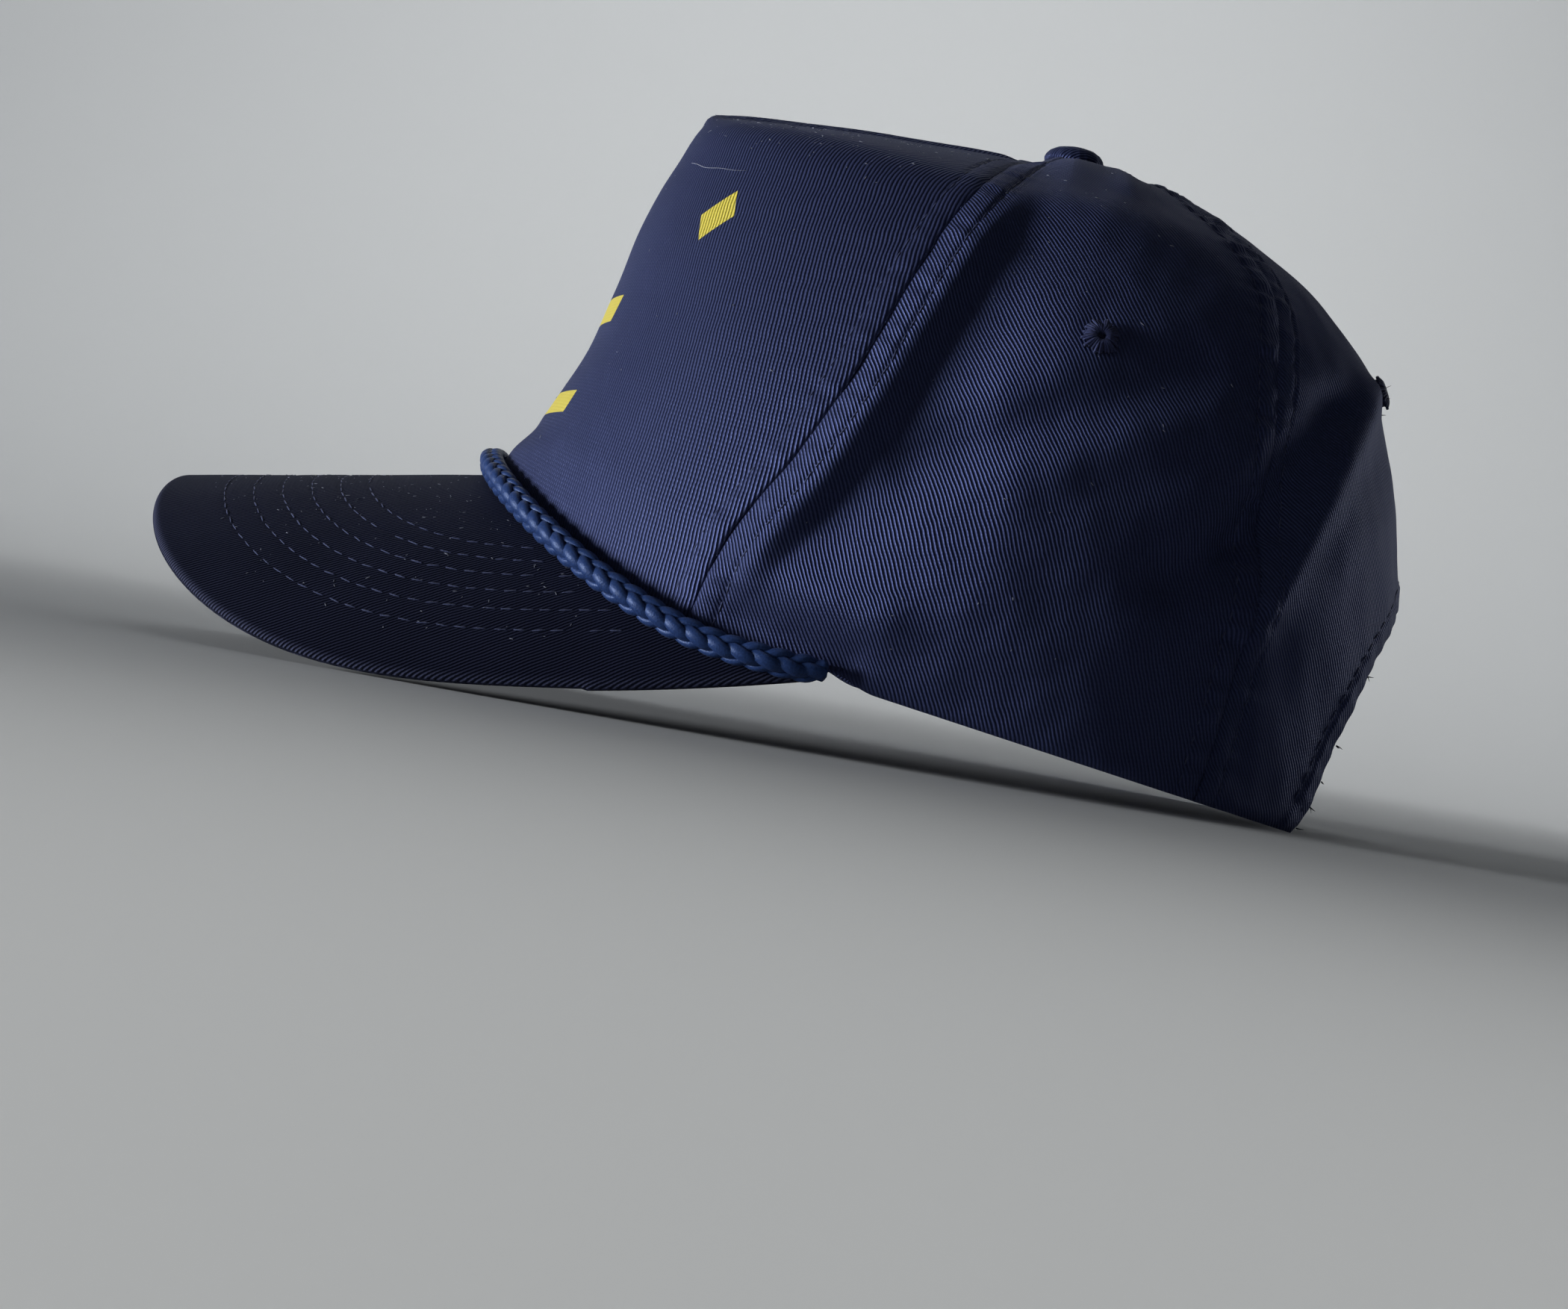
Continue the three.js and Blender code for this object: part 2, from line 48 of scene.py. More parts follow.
# ---------------------------------------------------------------------------- camera, floor and lights
# A pale seamless sweep of board, with the cap lying on it. The camera looks straight at the wearer's left
# side from a little over half a metre, hardly above the floor, and leans back by ten degrees.
scene = bpy.context.scene
camera_data = bpy.data.cameras.new("camera")
camera_data.sensor_width = 36
camera_data.lens = 62.3
camera_data.clip_start = 0.005
camera_data.dof.use_dof = False
camera = bpy.data.objects.new("camera", camera_data)
scene.collection.objects.link(camera)
scene.camera = camera
camera_lean = math.radians(10.03)
camera.location = (600 * mm, 3.2 * mm, 18 * mm)
camera.rotation_euler = (Matrix.Rotation(camera_lean, 3, "X") @ Matrix.Rotation(math.radians(90), 3, "Z")
                         @ Matrix.Rotation(math.radians(90), 3, "X")).to_euler()
scene.view_settings.view_transform = "Standard"


def object_of(bm, name, smooth=True):
    """Ends a piece of modelling and puts it in the scene as an object."""
    mesh = bpy.data.meshes.new(name)
    bm.to_mesh(mesh)
    bm.free()
    if smooth:
        mesh.shade_smooth()
    made = bpy.data.objects.new(name, mesh)
    scene.collection.objects.link(made)
    return made


def sweep(name, front, back, half_width, wall_height, bend):
    """The floor and the wall behind it, one board bent between them."""
    bm = bmesh.new()
    first = bm.verts.new((front, -half_width, 0))
    last = bm.verts.new((front, half_width, 0))
    edge = bm.edges.new((first, last))
    ring = [edge]
    bend_angles = np.linspace(0, math.pi / 2, 13)[1:]
    stops = [(back + bend, 0.0)]
    stops += [(back + bend - bend * math.sin(a), bend - bend * math.cos(a)) for a in bend_angles]
    stops.append((back, wall_height))
    at = (front, 0.0)
    for stop in stops:
        grown = bmesh.ops.extrude_edge_only(bm, edges=ring)["geom"]
        moved = [v for v in grown if isinstance(v, bmesh.types.BMVert)]
        bmesh.ops.translate(bm, verts=moved, vec=(stop[0] - at[0], 0, stop[1] - at[1]))
        ring = [e for e in grown if isinstance(e, bmesh.types.BMEdge)]
        at = stop
    bmesh.ops.recalc_face_normals(bm, faces=bm.faces)
    board = object_of(bm, name)
    return board


floor = sweep("floor", 2.2, -1.5, 3.0, 2.4, 0.7)
floor_paint = bpy.data.materials.new("floor_paint")
floor_paint.use_nodes = True
floor_shader = floor_paint.node_tree.nodes["Principled BSDF"]
floor_shader.inputs["Base Color"].default_value = (0.62, 0.63, 0.63, 1)
floor_shader.inputs["Roughness"].default_value = 0.9
floor.data.materials.append(floor_paint)


def soft_light(name, spot, aim, size, power, colour, spread=180):
    """A round area light at a spot, turned towards its aim, with its spread in degrees."""
    data = bpy.data.lights.new(name, "AREA")
    data.shape = "DISK"
    data.size = size
    data.energy = power
    data.color = colour
    data.spread = math.radians(spread)
    lamp = bpy.data.objects.new(name, data)
    lamp.location = spot
    lamp.rotation_euler = (Vector(aim) - Vector(spot)).to_track_quat("-Z", "Y").to_euler()
    scene.collection.objects.link(lamp)
    return lamp


soft_light("window", (0.33, -1.37, 0.04), (0.03, 0, 0.08), 0.6, 37, (0.93, 0.96, 1.0))
soft_light("far_window", (-0.95, 1.25, 0.35), (0.0, 0, 0.06), 0.5, 1.5, (0.95, 0.97, 1.0))
soft_light("wall_wash", (-0.60, 0.1, 1.9), (-1.5, 0.1, 0.5), 1.2, 6.4, (0.98, 0.99, 1.0), 90)
soft_light("table_light", (0.45, 0.0, 1.2), (0.55, 0, 0), 0.4, 0.4, (1.0, 1.0, 0.99), 40)
world = bpy.data.worlds.new("room")
world.use_nodes = True
room_light = world.node_tree.nodes["Background"]
room_light.inputs["Color"].default_value = (0.80, 0.84, 0.9, 1)
room_light.inputs["Strength"].default_value = 0.04
scene.world = world

# ---------------------------------------------------------------------------- crown panels
# Five panels of navy cotton twill: a tall front one stiffened with buckram, two sides and two backs. They
# are sewn edge to edge, pressed open and topstitched on both sides of each seam. Sizes in millimetres.
LEVEL_COLUMNS = ("frontY", "frontZ", "halfWidth", "sideZ", "rearY", "rearZ", "midY",
                 "squareFront", "squareRear", "frontSeam", "rearSeam")
HOLE_Y = 50.5
LEVELS = {
    "rim": (-60.3, 49.4, 79.3, 9, 131.8, -1, 30, 2.3, 2.1, 58.8, 133.4),
    "low": (-54.6, 59, 79, 32, 135.3, 26, 31, 2.3, 2.05, 61.7, 135.2),
    "mid": (-49.4, 72, 77.5, 53, 136.3, 52, 33, 2.25, 2, 67.2, 136.6),
    "high": (-44.4, 87.9, 74, 72, 130.6, 77.4, 36, 2.18, 2, 70.3, 136.2),
    "upper": (-40.5, 103.7, 67.5, 90, 123.2, 97, 39, 2.12, 2, 71.5, 137.4),
    "shoulder": (-35.6, 117.5, 60, 105, 111, 110, 42, 2.12, 2, 72.2, 140.4),
    "cornerLow": (-31.6, 127.6, 50.5, 116.5, 97.2, 119.8, 45, 2.15, 2, 72.3, 142),
    "cornerHigh": (-26, 131.1, 38, 123.4, 84.8, 127.6, 47.5, 2.1, 1.9, 69.3, 146),
    "top": (-6, 132.8, 24.5, 128.5, 74, 130.8, 49, 2, 1.9, 64.8, 151),
    "inner": (24, 133.3, 11.5, 131.5, 62, 132.4, 50.3, 1.9, 1.9, 57, 153),
    "hole": (HOLE_Y - 1.8, 132.7, 1.8, 132.7, HOLE_Y + 1.8, 132.7, HOLE_Y, 2, 2, 55, 154),
}
ROOF = {"slope": 0.14, "reach": 20, "startLevel": 5, "fullLevel": 7.5, "backShare": 0.6}
DART = {"rise": 0.9, "width": 3.2, "startY": -32, "endY": 40, "ease": 6}
# Soft folds, each along a line seen from the side: its two ends, half its breadth, its rise outwards and
# how much of that the same fold has on the wearer's right.
FOLD_COLUMNS = ("fromY", "fromZ", "toY", "toZ", "width", "rise", "far")
FOLDS = {
    "hollowBehindSeam": (8, 38, 26, 76, 13, -1.4, 0.8),
    "upperHollow": (26, 78, 36, 104, 12, -1.2, 1),
    "longTrough": (24, 58, 76, 87, 6, -1.5, 0.7),
    "ridgeAboveTrough": (40, 74, 86, 101, 8, 0.7, 0.8),
    "ridgeBelowTrough": (44, 54, 82, 79, 7, 0.8, 0.8),
    "innerTrough": (52, 55, 80, 69, 5, -0.6, 0.5),
    "secondRidge": (46, 42, 88, 70, 8, 0.6, 0.6),
    "hollowBySeam": (78, 45, 97, 58, 6, -2, 0.8),
    "lowerFrontRidge": (-2, 32, 24, 26, 5.5, 1.4, 0.7),
    "troughAboveRope": (-8, 23, 18, 17, 4, -1.3, 0.8),
    "sideBulge": (40, 30, 66, 24, 14, 1.4, 1),
    "backRidge": (119, 93, 98, 38, 4.2, 2.2, 0.7),
    "backHollow": (109, 86, 92, 54, 5.5, -2.6, 0.7),
    "puffByButton": (48, 131, 58, 130, 5.5, 2.2, 0.9),
    "ridgeBehindButton": (62, 126, 72, 129, 3.5, 1.2, 0.6),
}
FOLD_EDGES = {"behindSeam": 0.12, "fadeFrom": 4, "fadeTo": 12}
RIM = {"frontY": 18.6, "height": 13, "fall": 0.1445, "blendFrom": 13, "blendLength": 12}
PEAK = {"bend": 92, "crestY": -67.1, "crestZ": 44.1, "slope": 0.1763}
GAP = 0.3
BUTTON_SHANK_Z = 129
last_level = len(LEVELS) - 1
button_low, button_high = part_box("top_button")
shift = np.array([0, (button_low.y + button_high.y) / 2 / mm - HOLE_Y, button_low.z / mm - BUTTON_SHANK_Z])


def ease(start, end, value):
    """0 before the start, 1 after the end and a soft step between them."""
    t = np.clip((value - start) / (end - start), 0, 1)
    return t * t * (3 - 2 * t)


def hump(off, width):
    """A soft rise, 1 where off is 0 and a third of that a width away."""
    return np.exp(-((off / width) ** 2))


def lengths_along(path):
    """Lengths from a path's start to each of its points."""
    return np.concatenate([[0], np.cumsum(np.linalg.norm(np.diff(path, axis=0), axis=-1))])


def place_along(path, run, at):
    """The place, or places, at a length along a path whose points lie at the lengths in run."""
    return np.stack([np.interp(at, run, path[:, i]) for i in range(3)], -1)


def level_value(column, level):
    """A column of LEVELS at any level, on a smooth curve through its rows."""
    index = LEVEL_COLUMNS.index(column)
    values = np.array([row[index] for row in LEVELS.values()], float)
    padded = np.concatenate(([2 * values[0] - values[1]], values, [2 * values[-1] - values[-2]]))
    s = np.clip(level, 0, last_level)
    i = np.minimum(np.floor(s).astype(int), last_level - 1)
    f = s - i
    p0, p1, p2, p3 = (padded[i + k] for k in range(4))
    quadratic = 2 * p0 - 5 * p1 + 4 * p2 - p3
    cubic = 3 * p1 - p0 - 3 * p2 + p3
    return 0.5 * (2 * p1 + (p2 - p0) * f + quadratic * f ** 2 + cubic * f ** 3)


def peak_top(x, y):
    """Height of the peak's upper face, a cylinder that slopes down to the front."""
    across = np.minimum(np.abs(x), PEAK["bend"] - 1)
    crest = PEAK["crestZ"] + (y - PEAK["crestY"]) * PEAK["slope"]
    return crest - (PEAK["bend"] - np.sqrt(PEAK["bend"] ** 2 - across ** 2))


def rim_height(x, y):
    side = RIM["height"] - (y - RIM["frontY"]) * RIM["fall"]
    behind = ease(RIM["blendFrom"], RIM["blendFrom"] + RIM["blendLength"], y)
    return (peak_top(x, y) + GAP) * (1 - behind) + side * behind


def oval(angle, level):
    """Plan position of a level at an angle from the front, positive towards the wearer's left."""
    cos, sin = np.cos(angle), np.sin(angle)
    mid = level_value("midY", level)
    front = cos > 0
    reach = np.where(front, mid - level_value("frontY", level), level_value("rearY", level) - mid)
    square = np.where(front, level_value("squareFront", level), level_value("squareRear", level))
    width = level_value("halfWidth", level)
    radius = ((np.abs(sin) / width) ** square + (np.abs(cos) / reach) ** square) ** (-1 / square)
    return radius * sin, mid - radius * cos


def level_height(angle, level):
    cos = np.cos(angle)
    end = np.where(cos > 0, level_value("frontZ", level), level_value("rearZ", level))
    side = level_value("sideZ", level)
    return side + (end - side) * cos ** 2


def smooth_crown(angle, level):
    """A point of the crown's outer face as it would be without folds."""
    angle, level = np.broadcast_arrays(np.asarray(angle, float), np.asarray(level, float))
    x, y = oval(angle, level)
    z = level_height(angle, level)
    rim_x, rim_y = oval(angle, level * 0)
    drop = rim_height(rim_x, rim_y) - level_height(angle, level * 0)
    z = z + np.where(level < 1, drop * (1 - level), 0)
    across = np.abs(x)
    end = np.cos(angle)
    fall = ROOF["slope"] * np.where(end > 0, end, -ROOF["backShare"] * end)
    z = z - fall * ease(ROOF["startLevel"], ROOF["fullLevel"], level) * np.minimum(across, ROOF["reach"])
    start = ease(DART["startY"], DART["startY"] + DART["ease"], y)
    finish = 1 - ease(DART["endY"] - DART["ease"], DART["endY"], y)
    dart = DART["rise"] * start * finish * hump(across, DART["width"])
    z = z + np.where((end > 0) & (level > ROOF["startLevel"]), dart, 0)
    return np.stack([x, y, z], -1)


def unit(v):
    return v / np.linalg.norm(v, axis=-1, keepdims=True)


def crown_normal(angle, level):
    step = 0.004
    around = smooth_crown(angle + step, level) - smooth_crown(angle - step, level)
    upper = np.minimum(level + step * 5, last_level)
    lower = np.maximum(level - step * 5, 0)
    return unit(np.cross(around, smooth_crown(angle, upper) - smooth_crown(angle, lower)))


def near_line(points, start, end):
    """Distance from each point to a stretch, and how far along it the nearest place is, from 0 to 1."""
    run = np.asarray(end, float) - start
    along = np.clip((points - start) @ run / (run @ run), 0, 1)
    return np.linalg.norm(points - start - along[..., None] * run, axis=-1), along


def fold_rise(points):
    side = points[..., 1:]
    rise = np.zeros(side.shape[:-1])
    for row in FOLDS.values():
        fold = dict(zip(FOLD_COLUMNS, row))
        away, along = near_line(side, np.array([fold["fromY"], fold["fromZ"]]), (fold["toY"], fold["toZ"]))
        share = np.where(points[..., 0] > 0, 1, fold["far"])
        rise += fold["rise"] * share * hump(away, fold["width"])
    return rise * ease(FOLD_EDGES["fadeFrom"], FOLD_EDGES["fadeTo"], np.abs(points[..., 0]))


def crown_point(angle, level, depth=0.0):
    """A point of the crown so far below its outer face, with the folds of its soft panels."""
    angle, level = np.broadcast_arrays(np.asarray(angle, float), np.asarray(level, float))
    here = smooth_crown(angle, level)
    seam = np.radians(level_value("frontSeam", level))
    soft = ease(0, FOLD_EDGES["behindSeam"], np.abs(angle) - seam)
    out = fold_rise(here) * soft - depth
    point = here + crown_normal(angle, level) * out[..., None]
    lowest = np.where(level <= 0, rim_height(point[..., 0], point[..., 1]), -np.inf)
    point[..., 2] = np.maximum(point[..., 2], lowest)
    return point


def near_path(points, path):
    """Distance from each point to a path, and the length along it to the nearest place."""
    best = np.full(points.shape[:-1], np.inf)
    where = np.zeros(points.shape[:-1])
    done = 0.0
    for start, end in zip(path[:-1], path[1:]):
        length = np.linalg.norm(end - start)
        if length < 1e-6:
            continue
        away, along = near_line(points, start, end)
        closer = away < best
        best = np.where(closer, away, best)
        where = np.where(closer, done + along * length, where)
        done += length
    return best, where


ANY_PHASE = (0, 6.28)


def ripples(points, size, seed, waves=14):
    """Gentle seeded unevenness between about -1 and 1, with waves about so many millimetres long."""
    random = np.random.default_rng(seed)
    total = np.zeros(points.shape[:-1])
    for _ in range(waves):
        direction = unit(random.normal(size=3)) * 2 * math.pi / (size * random.uniform(0.7, 1.5))
        total += np.sin(points @ direction + random.uniform(*ANY_PHASE))
    return total / math.sqrt(waves)


# Arc lengths over the crown, so that each panel's cloth keeps its true width and height.
ARC_ROWS, ARC_COLUMNS = 100, 360
table_levels = np.linspace(0, last_level, ARC_ROWS + 1)
table_angles = np.radians(np.linspace(0, 180, ARC_COLUMNS + 1))
arc_points = smooth_crown(table_angles[None, :], table_levels[:, None])
arc_steps = np.linalg.norm(np.diff(arc_points, axis=1), axis=-1)
arc_table = np.concatenate([np.zeros((len(table_levels), 1)), np.cumsum(arc_steps, axis=1)], axis=1)


def arc_length(angle, level):
    """Length round a level from the front to an angle, negative on the wearer's right."""
    column = np.clip(np.abs(angle) / math.pi * ARC_COLUMNS, 0, ARC_COLUMNS - 0.001)
    row = np.clip(level / last_level * ARC_ROWS, 0, ARC_ROWS - 0.001)
    i, j = np.floor(row).astype(int), np.floor(column).astype(int)
    f, g = row - i, column - j
    low = arc_table[i, j] * (1 - g) + arc_table[i, j + 1] * g
    high = arc_table[i + 1, j] * (1 - g) + arc_table[i + 1, j + 1] * g
    return (low * (1 - f) + high * f) * np.sign(angle)


def climb_line(angle_at):
    """Levels, and the lengths up to them from the rim, along a line whose angle is given for each level."""
    levels = np.linspace(0, last_level, 400)
    return levels, lengths_along(smooth_crown(angle_at(levels), levels))


def turn_of(column, side=1):
    """The angle of a seam for any level, on the wearer's left or, with side -1, right."""
    return lambda level: side * np.radians(level_value(column, level))


TWILL_TURN = math.radians(27)


def sheet_of(name, columns, rows, place):
    """A grid whose corners run s and t from 0 to 1, bent by place, which gives points, cloth coordinates
    and at times coordinates for marks, in millimetres. The cloth's are turned so that ribs run along v."""
    bm = bmesh.new()
    bmesh.ops.create_grid(bm, x_segments=columns, y_segments=rows, size=0.5)
    piece = object_of(bm, name)
    mesh = piece.data
    flat = np.empty(len(mesh.vertices) * 3)
    mesh.vertices.foreach_get("co", flat)
    st = flat.reshape(-1, 3) + 0.5
    points, cloth, *marked = place(st[:, 0], st[:, 1])
    mesh.vertices.foreach_set("co", ((points + shift) * mm).ravel())
    u = cloth[:, 0] * math.cos(TWILL_TURN) + cloth[:, 1] * math.sin(TWILL_TURN)
    v = -cloth[:, 0] * math.sin(TWILL_TURN) + cloth[:, 1] * math.cos(TWILL_TURN)
    corners = np.empty(len(mesh.loops), int)
    mesh.loops.foreach_get("vertex_index", corners)
    for layer, places in zip(("cloth", "marks"), (np.stack([u, v], -1), *marked)):
        mesh.uv_layers.new(name=layer).data.foreach_set("uv", (places[corners] * mm).ravel())
    mesh.update()
    return piece


def closed(piece):
    """Joins corners that meet, fills open ends and turns every face outwards."""
    bm = bmesh.new()
    bm.from_mesh(piece.data)
    bmesh.ops.remove_doubles(bm, verts=bm.verts, dist=0.001 * mm)
    bmesh.ops.holes_fill(bm, edges=bm.edges, sides=0)
    bmesh.ops.recalc_face_normals(bm, faces=bm.faces)
    bm.to_mesh(piece.data)
    bm.free()
    return piece


def thickened(piece, thickness, offset=-1):
    """Gives a sheet its thickness in millimetres, inwards unless the offset says otherwise."""
    wall = piece.modifiers.new("wall", "SOLIDIFY")
    wall.thickness = thickness * mm
    wall.offset = offset
    return wall


def finished(piece, material, slot, *nodes):
    """Gives a piece its cloth and its place in the cap's one body, and hides the CAD nodes that it stands
    for.
    """
    piece.data.materials.append(material)
    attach(piece, "root")
    if nodes:
        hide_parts(*nodes)
    return piece


def feed(node, inputs):
    """Fills a node's inputs: a socket is linked, and anything else is set as a plain value."""
    for key, value in inputs.items():
        if isinstance(value, bpy.types.NodeSocket):
            node.id_data.links.new(value, node.inputs[key])
        else:
            node.inputs[key].default_value = value
    return node


def fresh_material(name):
    """A material, its shader, and new(kind, inputs, settings), which adds a node to it."""
    material = bpy.data.materials.new(name)
    material.use_nodes = True

    def new(kind, inputs=None, **settings):
        node = material.node_tree.nodes.new(kind)
        for key, value in settings.items():
            setattr(node, key, value)
        return feed(node, inputs or {})

    return material, new, material.node_tree.nodes["Principled BSDF"]


def maths(new, operation, a, b=0.0, c=0.0, clamp=False):
    return new("ShaderNodeMath", {0: a, 1: b, 2: c}, operation=operation, use_clamp=clamp).outputs[0]


def noise(new, place, scale, detail=2.0):
    return new("ShaderNodeTexNoise", {"Vector": place, "Scale": scale, "Detail": detail}).outputs["Fac"]


def mixed(new, share, low, high, blend="MIX"):
    """A colour between two others, which are sockets or plain red, green and blue."""
    low, high = (c if isinstance(c, bpy.types.NodeSocket) else (*c, 1) for c in (low, high))
    return new("ShaderNodeMix", {0: share, 6: low, 7: high}, data_type="RGBA", blend_type=blend).outputs[2]


def marks_place(new):
    """The coordinates for marks, apart: the print's place on the front, or how far round the peak's folded
    edge a place lies, which sets the painted highlight there.
    """
    return new("ShaderNodeSeparateXYZ", {0: new("ShaderNodeUVMap", uv_map="marks").outputs[0]}).outputs


FLOATS = {"length": 0.8, "slant": 0.36, "depth": 0.16}


def twill(name, rib, groove, pitch=0.73, depth=0.22, sheen=0.02, roughness=0.42, gloss=1.0, dense=1.78,
          marks=None, mark_colour=None):
    """Cotton twill: round ribs at a pitch in millimetres, each a row of small floats, with patches of a
    lighter and a darker tone. The grooves between the ribs and floats are painted in the dark groove colour,
    as painted shade. What marks masks has the mark colour instead."""
    material, new, shader = fresh_material(name)
    cloth = new("ShaderNodeUVMap", uv_map="cloth").outputs[0]
    wobble = noise(new, cloth, 160.0)
    fine = noise(new, cloth, 2600.0)
    patches = noise(new, cloth, 45.0, 3.0)
    across, along = new("ShaderNodeSeparateXYZ", {0: cloth}).outputs[:2]
    turns = maths(new, "MULTIPLY_ADD", across, 1 / (pitch * mm), maths(new, "MULTIPLY", wobble, 0.9))
    angle = maths(new, "MULTIPLY", turns, 2 * math.pi)
    ridge = maths(new, "MULTIPLY_ADD", maths(new, "COSINE", angle), 0.5, 0.5)
    slanted = maths(new, "MULTIPLY", angle, FLOATS["slant"])
    step = maths(new, "MULTIPLY_ADD", along, 2 * math.pi / (FLOATS["length"] * mm), slanted)
    bead = maths(new, "MULTIPLY_ADD", maths(new, "COSINE", step), 0.5, 0.5)
    lowered = maths(new, "MULTIPLY_ADD", bead, FLOATS["depth"], 1 - FLOATS["depth"])
    broken = maths(new, "MULTIPLY", ridge, lowered)
    shade = new("ShaderNodeMapRange", {"Value": maths(new, "MULTIPLY_ADD", fine, 0.5, broken),
                                       "From Min": 0.2, "From Max": 1.2})
    tone = new("ShaderNodeMapRange", {"Value": patches, "From Min": 0.3, "From Max": 0.7,
                                      "To Min": 0.82, "To Max": 1.16})
    # Painted shade: the grooves and the gaps between floats take the dark groove colour, the tops of the ribs
    # the rib colour.
    ribbed = mixed(new, shade.outputs[0], groove, rib)
    colour = mixed(new, 1.0, ribbed, tone.outputs[0], "MULTIPLY")
    if marks:
        colour = mixed(new, marks(new, broken), colour, mark_colour)
    height = maths(new, "MULTIPLY_ADD", fine, 0.12, broken)
    bump = new("ShaderNodeBump", {"Height": height, "Distance": depth * mm, "Strength": 1.0})
    rough = new("ShaderNodeMapRange", {"Value": broken, "To Min": 0.85, "To Max": roughness})
    feed(shader, {"Base Color": colour, "Normal": bump.outputs[0], "Roughness": rough.outputs[0],
                  "Specular IOR Level": gloss, "IOR": dense, "Specular Tint": (0.34, 0.43, 1.0, 1),
                  "Sheen Weight": sheen, "Sheen Roughness": 0.45, "Sheen Tint": (0.55, 0.62, 1.0, 1)})
    return material


# Print on the front: two plain yellow stripes in the middle and a small lozenge towards each side.
PRINT = {"yellow": (0.86, 0.70, 0.02), "stripes": ((61.5, 5, 33), (83, 6, 27)),
         "lozengeAngle": 33.8, "lozengeLevel": 4.27, "lozengeHalf": (4.6, 5.8)}


def yellow_marks(new, ridge):
    """Where the print lies, which is a little thinner between the ribs."""
    aside, up = marks_place(new)[:2]
    aside = maths(new, "ABSOLUTE", aside)
    inked = 0.0
    for high, wide, half_long in PRINT["stripes"]:
        off = maths(new, "ABSOLUTE", maths(new, "SUBTRACT", up, high * mm))
        within = maths(new, "LESS_THAN", aside, half_long * mm)
        band = maths(new, "MULTIPLY", maths(new, "LESS_THAN", off, wide / 2 * mm), within)
        inked = maths(new, "MAXIMUM", inked, band)
    angle = math.radians(PRINT["lozengeAngle"])
    out = float(arc_length(np.array([angle]), np.array([PRINT["lozengeLevel"]]))[0])
    high = float(crown_point(angle, PRINT["lozengeLevel"])[2])
    half_wide, half_high = PRINT["lozengeHalf"]
    reach = 0.0
    for where, middle, half in ((aside, out, half_wide), (up, high, half_high)):
        off = maths(new, "ABSOLUTE", maths(new, "SUBTRACT", where, middle * mm))
        reach = maths(new, "MULTIPLY_ADD", off, 1 / (half * mm), reach)
    inked = maths(new, "MAXIMUM", inked, maths(new, "LESS_THAN", reach, 1.0))
    return maths(new, "MULTIPLY", inked, maths(new, "MULTIPLY_ADD", ridge, 0.12, 0.88))


# The ribs' own navy, and a near black that is painted into the grooves as their shade.
NAVY = ((0.0115, 0.0132, 0.038), (0.001, 0.0012, 0.0033))
crown_twill = twill("crown_twill", *NAVY)
front_twill = twill("front_twill", *NAVY, marks=yellow_marks, mark_colour=PRINT["yellow"])
# Seams: the edges meet in a narrow groove, and a row of topstitches holds each turned-in edge down. The
# cloth lies higher over that edge, is pulled in along the row and puckers a little beside it.
SEAM = {"roll": 0.08, "rollWidth": 0.3, "puff": 0.28, "puffFrom": (0.2, 1.8), "puffTo": (-0.2, 1.8),
        "row": 5.0, "pull": 0.42, "pullWidth": 0.6, "uneven": 0.2,
        "pucker": 0.09, "puckerFrom": 1.5, "puckerWidth": 7.0, "puckers": (4.3, 6.1, 9.7)}
SEAM_TOP = 9.3
SEAM_STEPS = 150
seam_levels = np.linspace(0, SEAM_TOP, SEAM_STEPS)


def seam_path(column, side):
    return crown_point(side * np.radians(level_value(column, seam_levels)), seam_levels)


seams = {(column, side): seam_path(column, side) for column in ("frontSeam", "rearSeam") for side in (1, -1)}
seams["centreBack"] = crown_point(np.full(SEAM_STEPS, math.pi), seam_levels)


def seam_relief(points, line, seed, pucker=1.0):
    """How the cloth rises and falls beside a seam."""
    away, along = near_path(points, line)
    past_row = away - SEAM["row"]
    roll = -SEAM["roll"] * (1 - ease(0, SEAM["rollWidth"], away))
    lift = SEAM["puff"] * ease(*SEAM["puffFrom"], away) * (1 - ease(*SEAM["puffTo"], past_row))
    pull = -SEAM["pull"] * hump(past_row, SEAM["pullWidth"])
    random = np.random.default_rng(seed)
    wave = np.zeros_like(along)
    for length in SEAM["puckers"]:
        wave += np.sin(along * 2 * math.pi / length + random.uniform(*ANY_PHASE))
    near = hump(away, SEAM["puckerWidth"]) * ease(0, SEAM["puckerFrom"], away)
    return roll + lift * (1 + SEAM["uneven"] * wave * pucker) + pull + SEAM["pucker"] * pucker * wave * near


# Hems: the edges at the rim and the arch are folded in, and the arch has a row of stitches.
HEM = {"drop": 0.7, "fold": 1.3, "lift": 0.5, "liftTo": (-0.3, 1.2), "row": 5.5, "pull": 0.35,
       "pullWidth": 0.6, "wave": 0.12, "waveTurn": 1.1, "waveWidth": 8}


def hem_relief(level):
    return -HEM["drop"] * (1 - ease(0, HEM["fold"], np.interp(level, *rim_climb)))


rim_climb = climb_line(lambda level: level * 0 + math.pi / 2)

# The angle and level of each eyelet. The cloth is drawn in round it, and has a hole in the middle.
EYELET_SEAT = {"dent": 0.35, "dentWidth": 4.5, "hole": 1.5}
EYELETS = {
    "eyelet_side_left": (105.1, 3.92), "eyelet_side_right": (-105.1, 3.92),
    "eyelet_back_left": (168.5, 3.85), "eyelet_back_right": (-168.5, 3.85),
}
eyelet_spots = {name: (crown_point(math.radians(a), l), crown_normal(math.radians(a), l))
                for name, (a, l) in EYELETS.items()}


def eyelet_relief(points):
    dent = np.zeros(points.shape[:-1])
    for spot, _ in eyelet_spots.values():
        dent -= EYELET_SEAT["dent"] * hump(np.linalg.norm(points - spot, axis=-1), EYELET_SEAT["dentWidth"])
    return dent


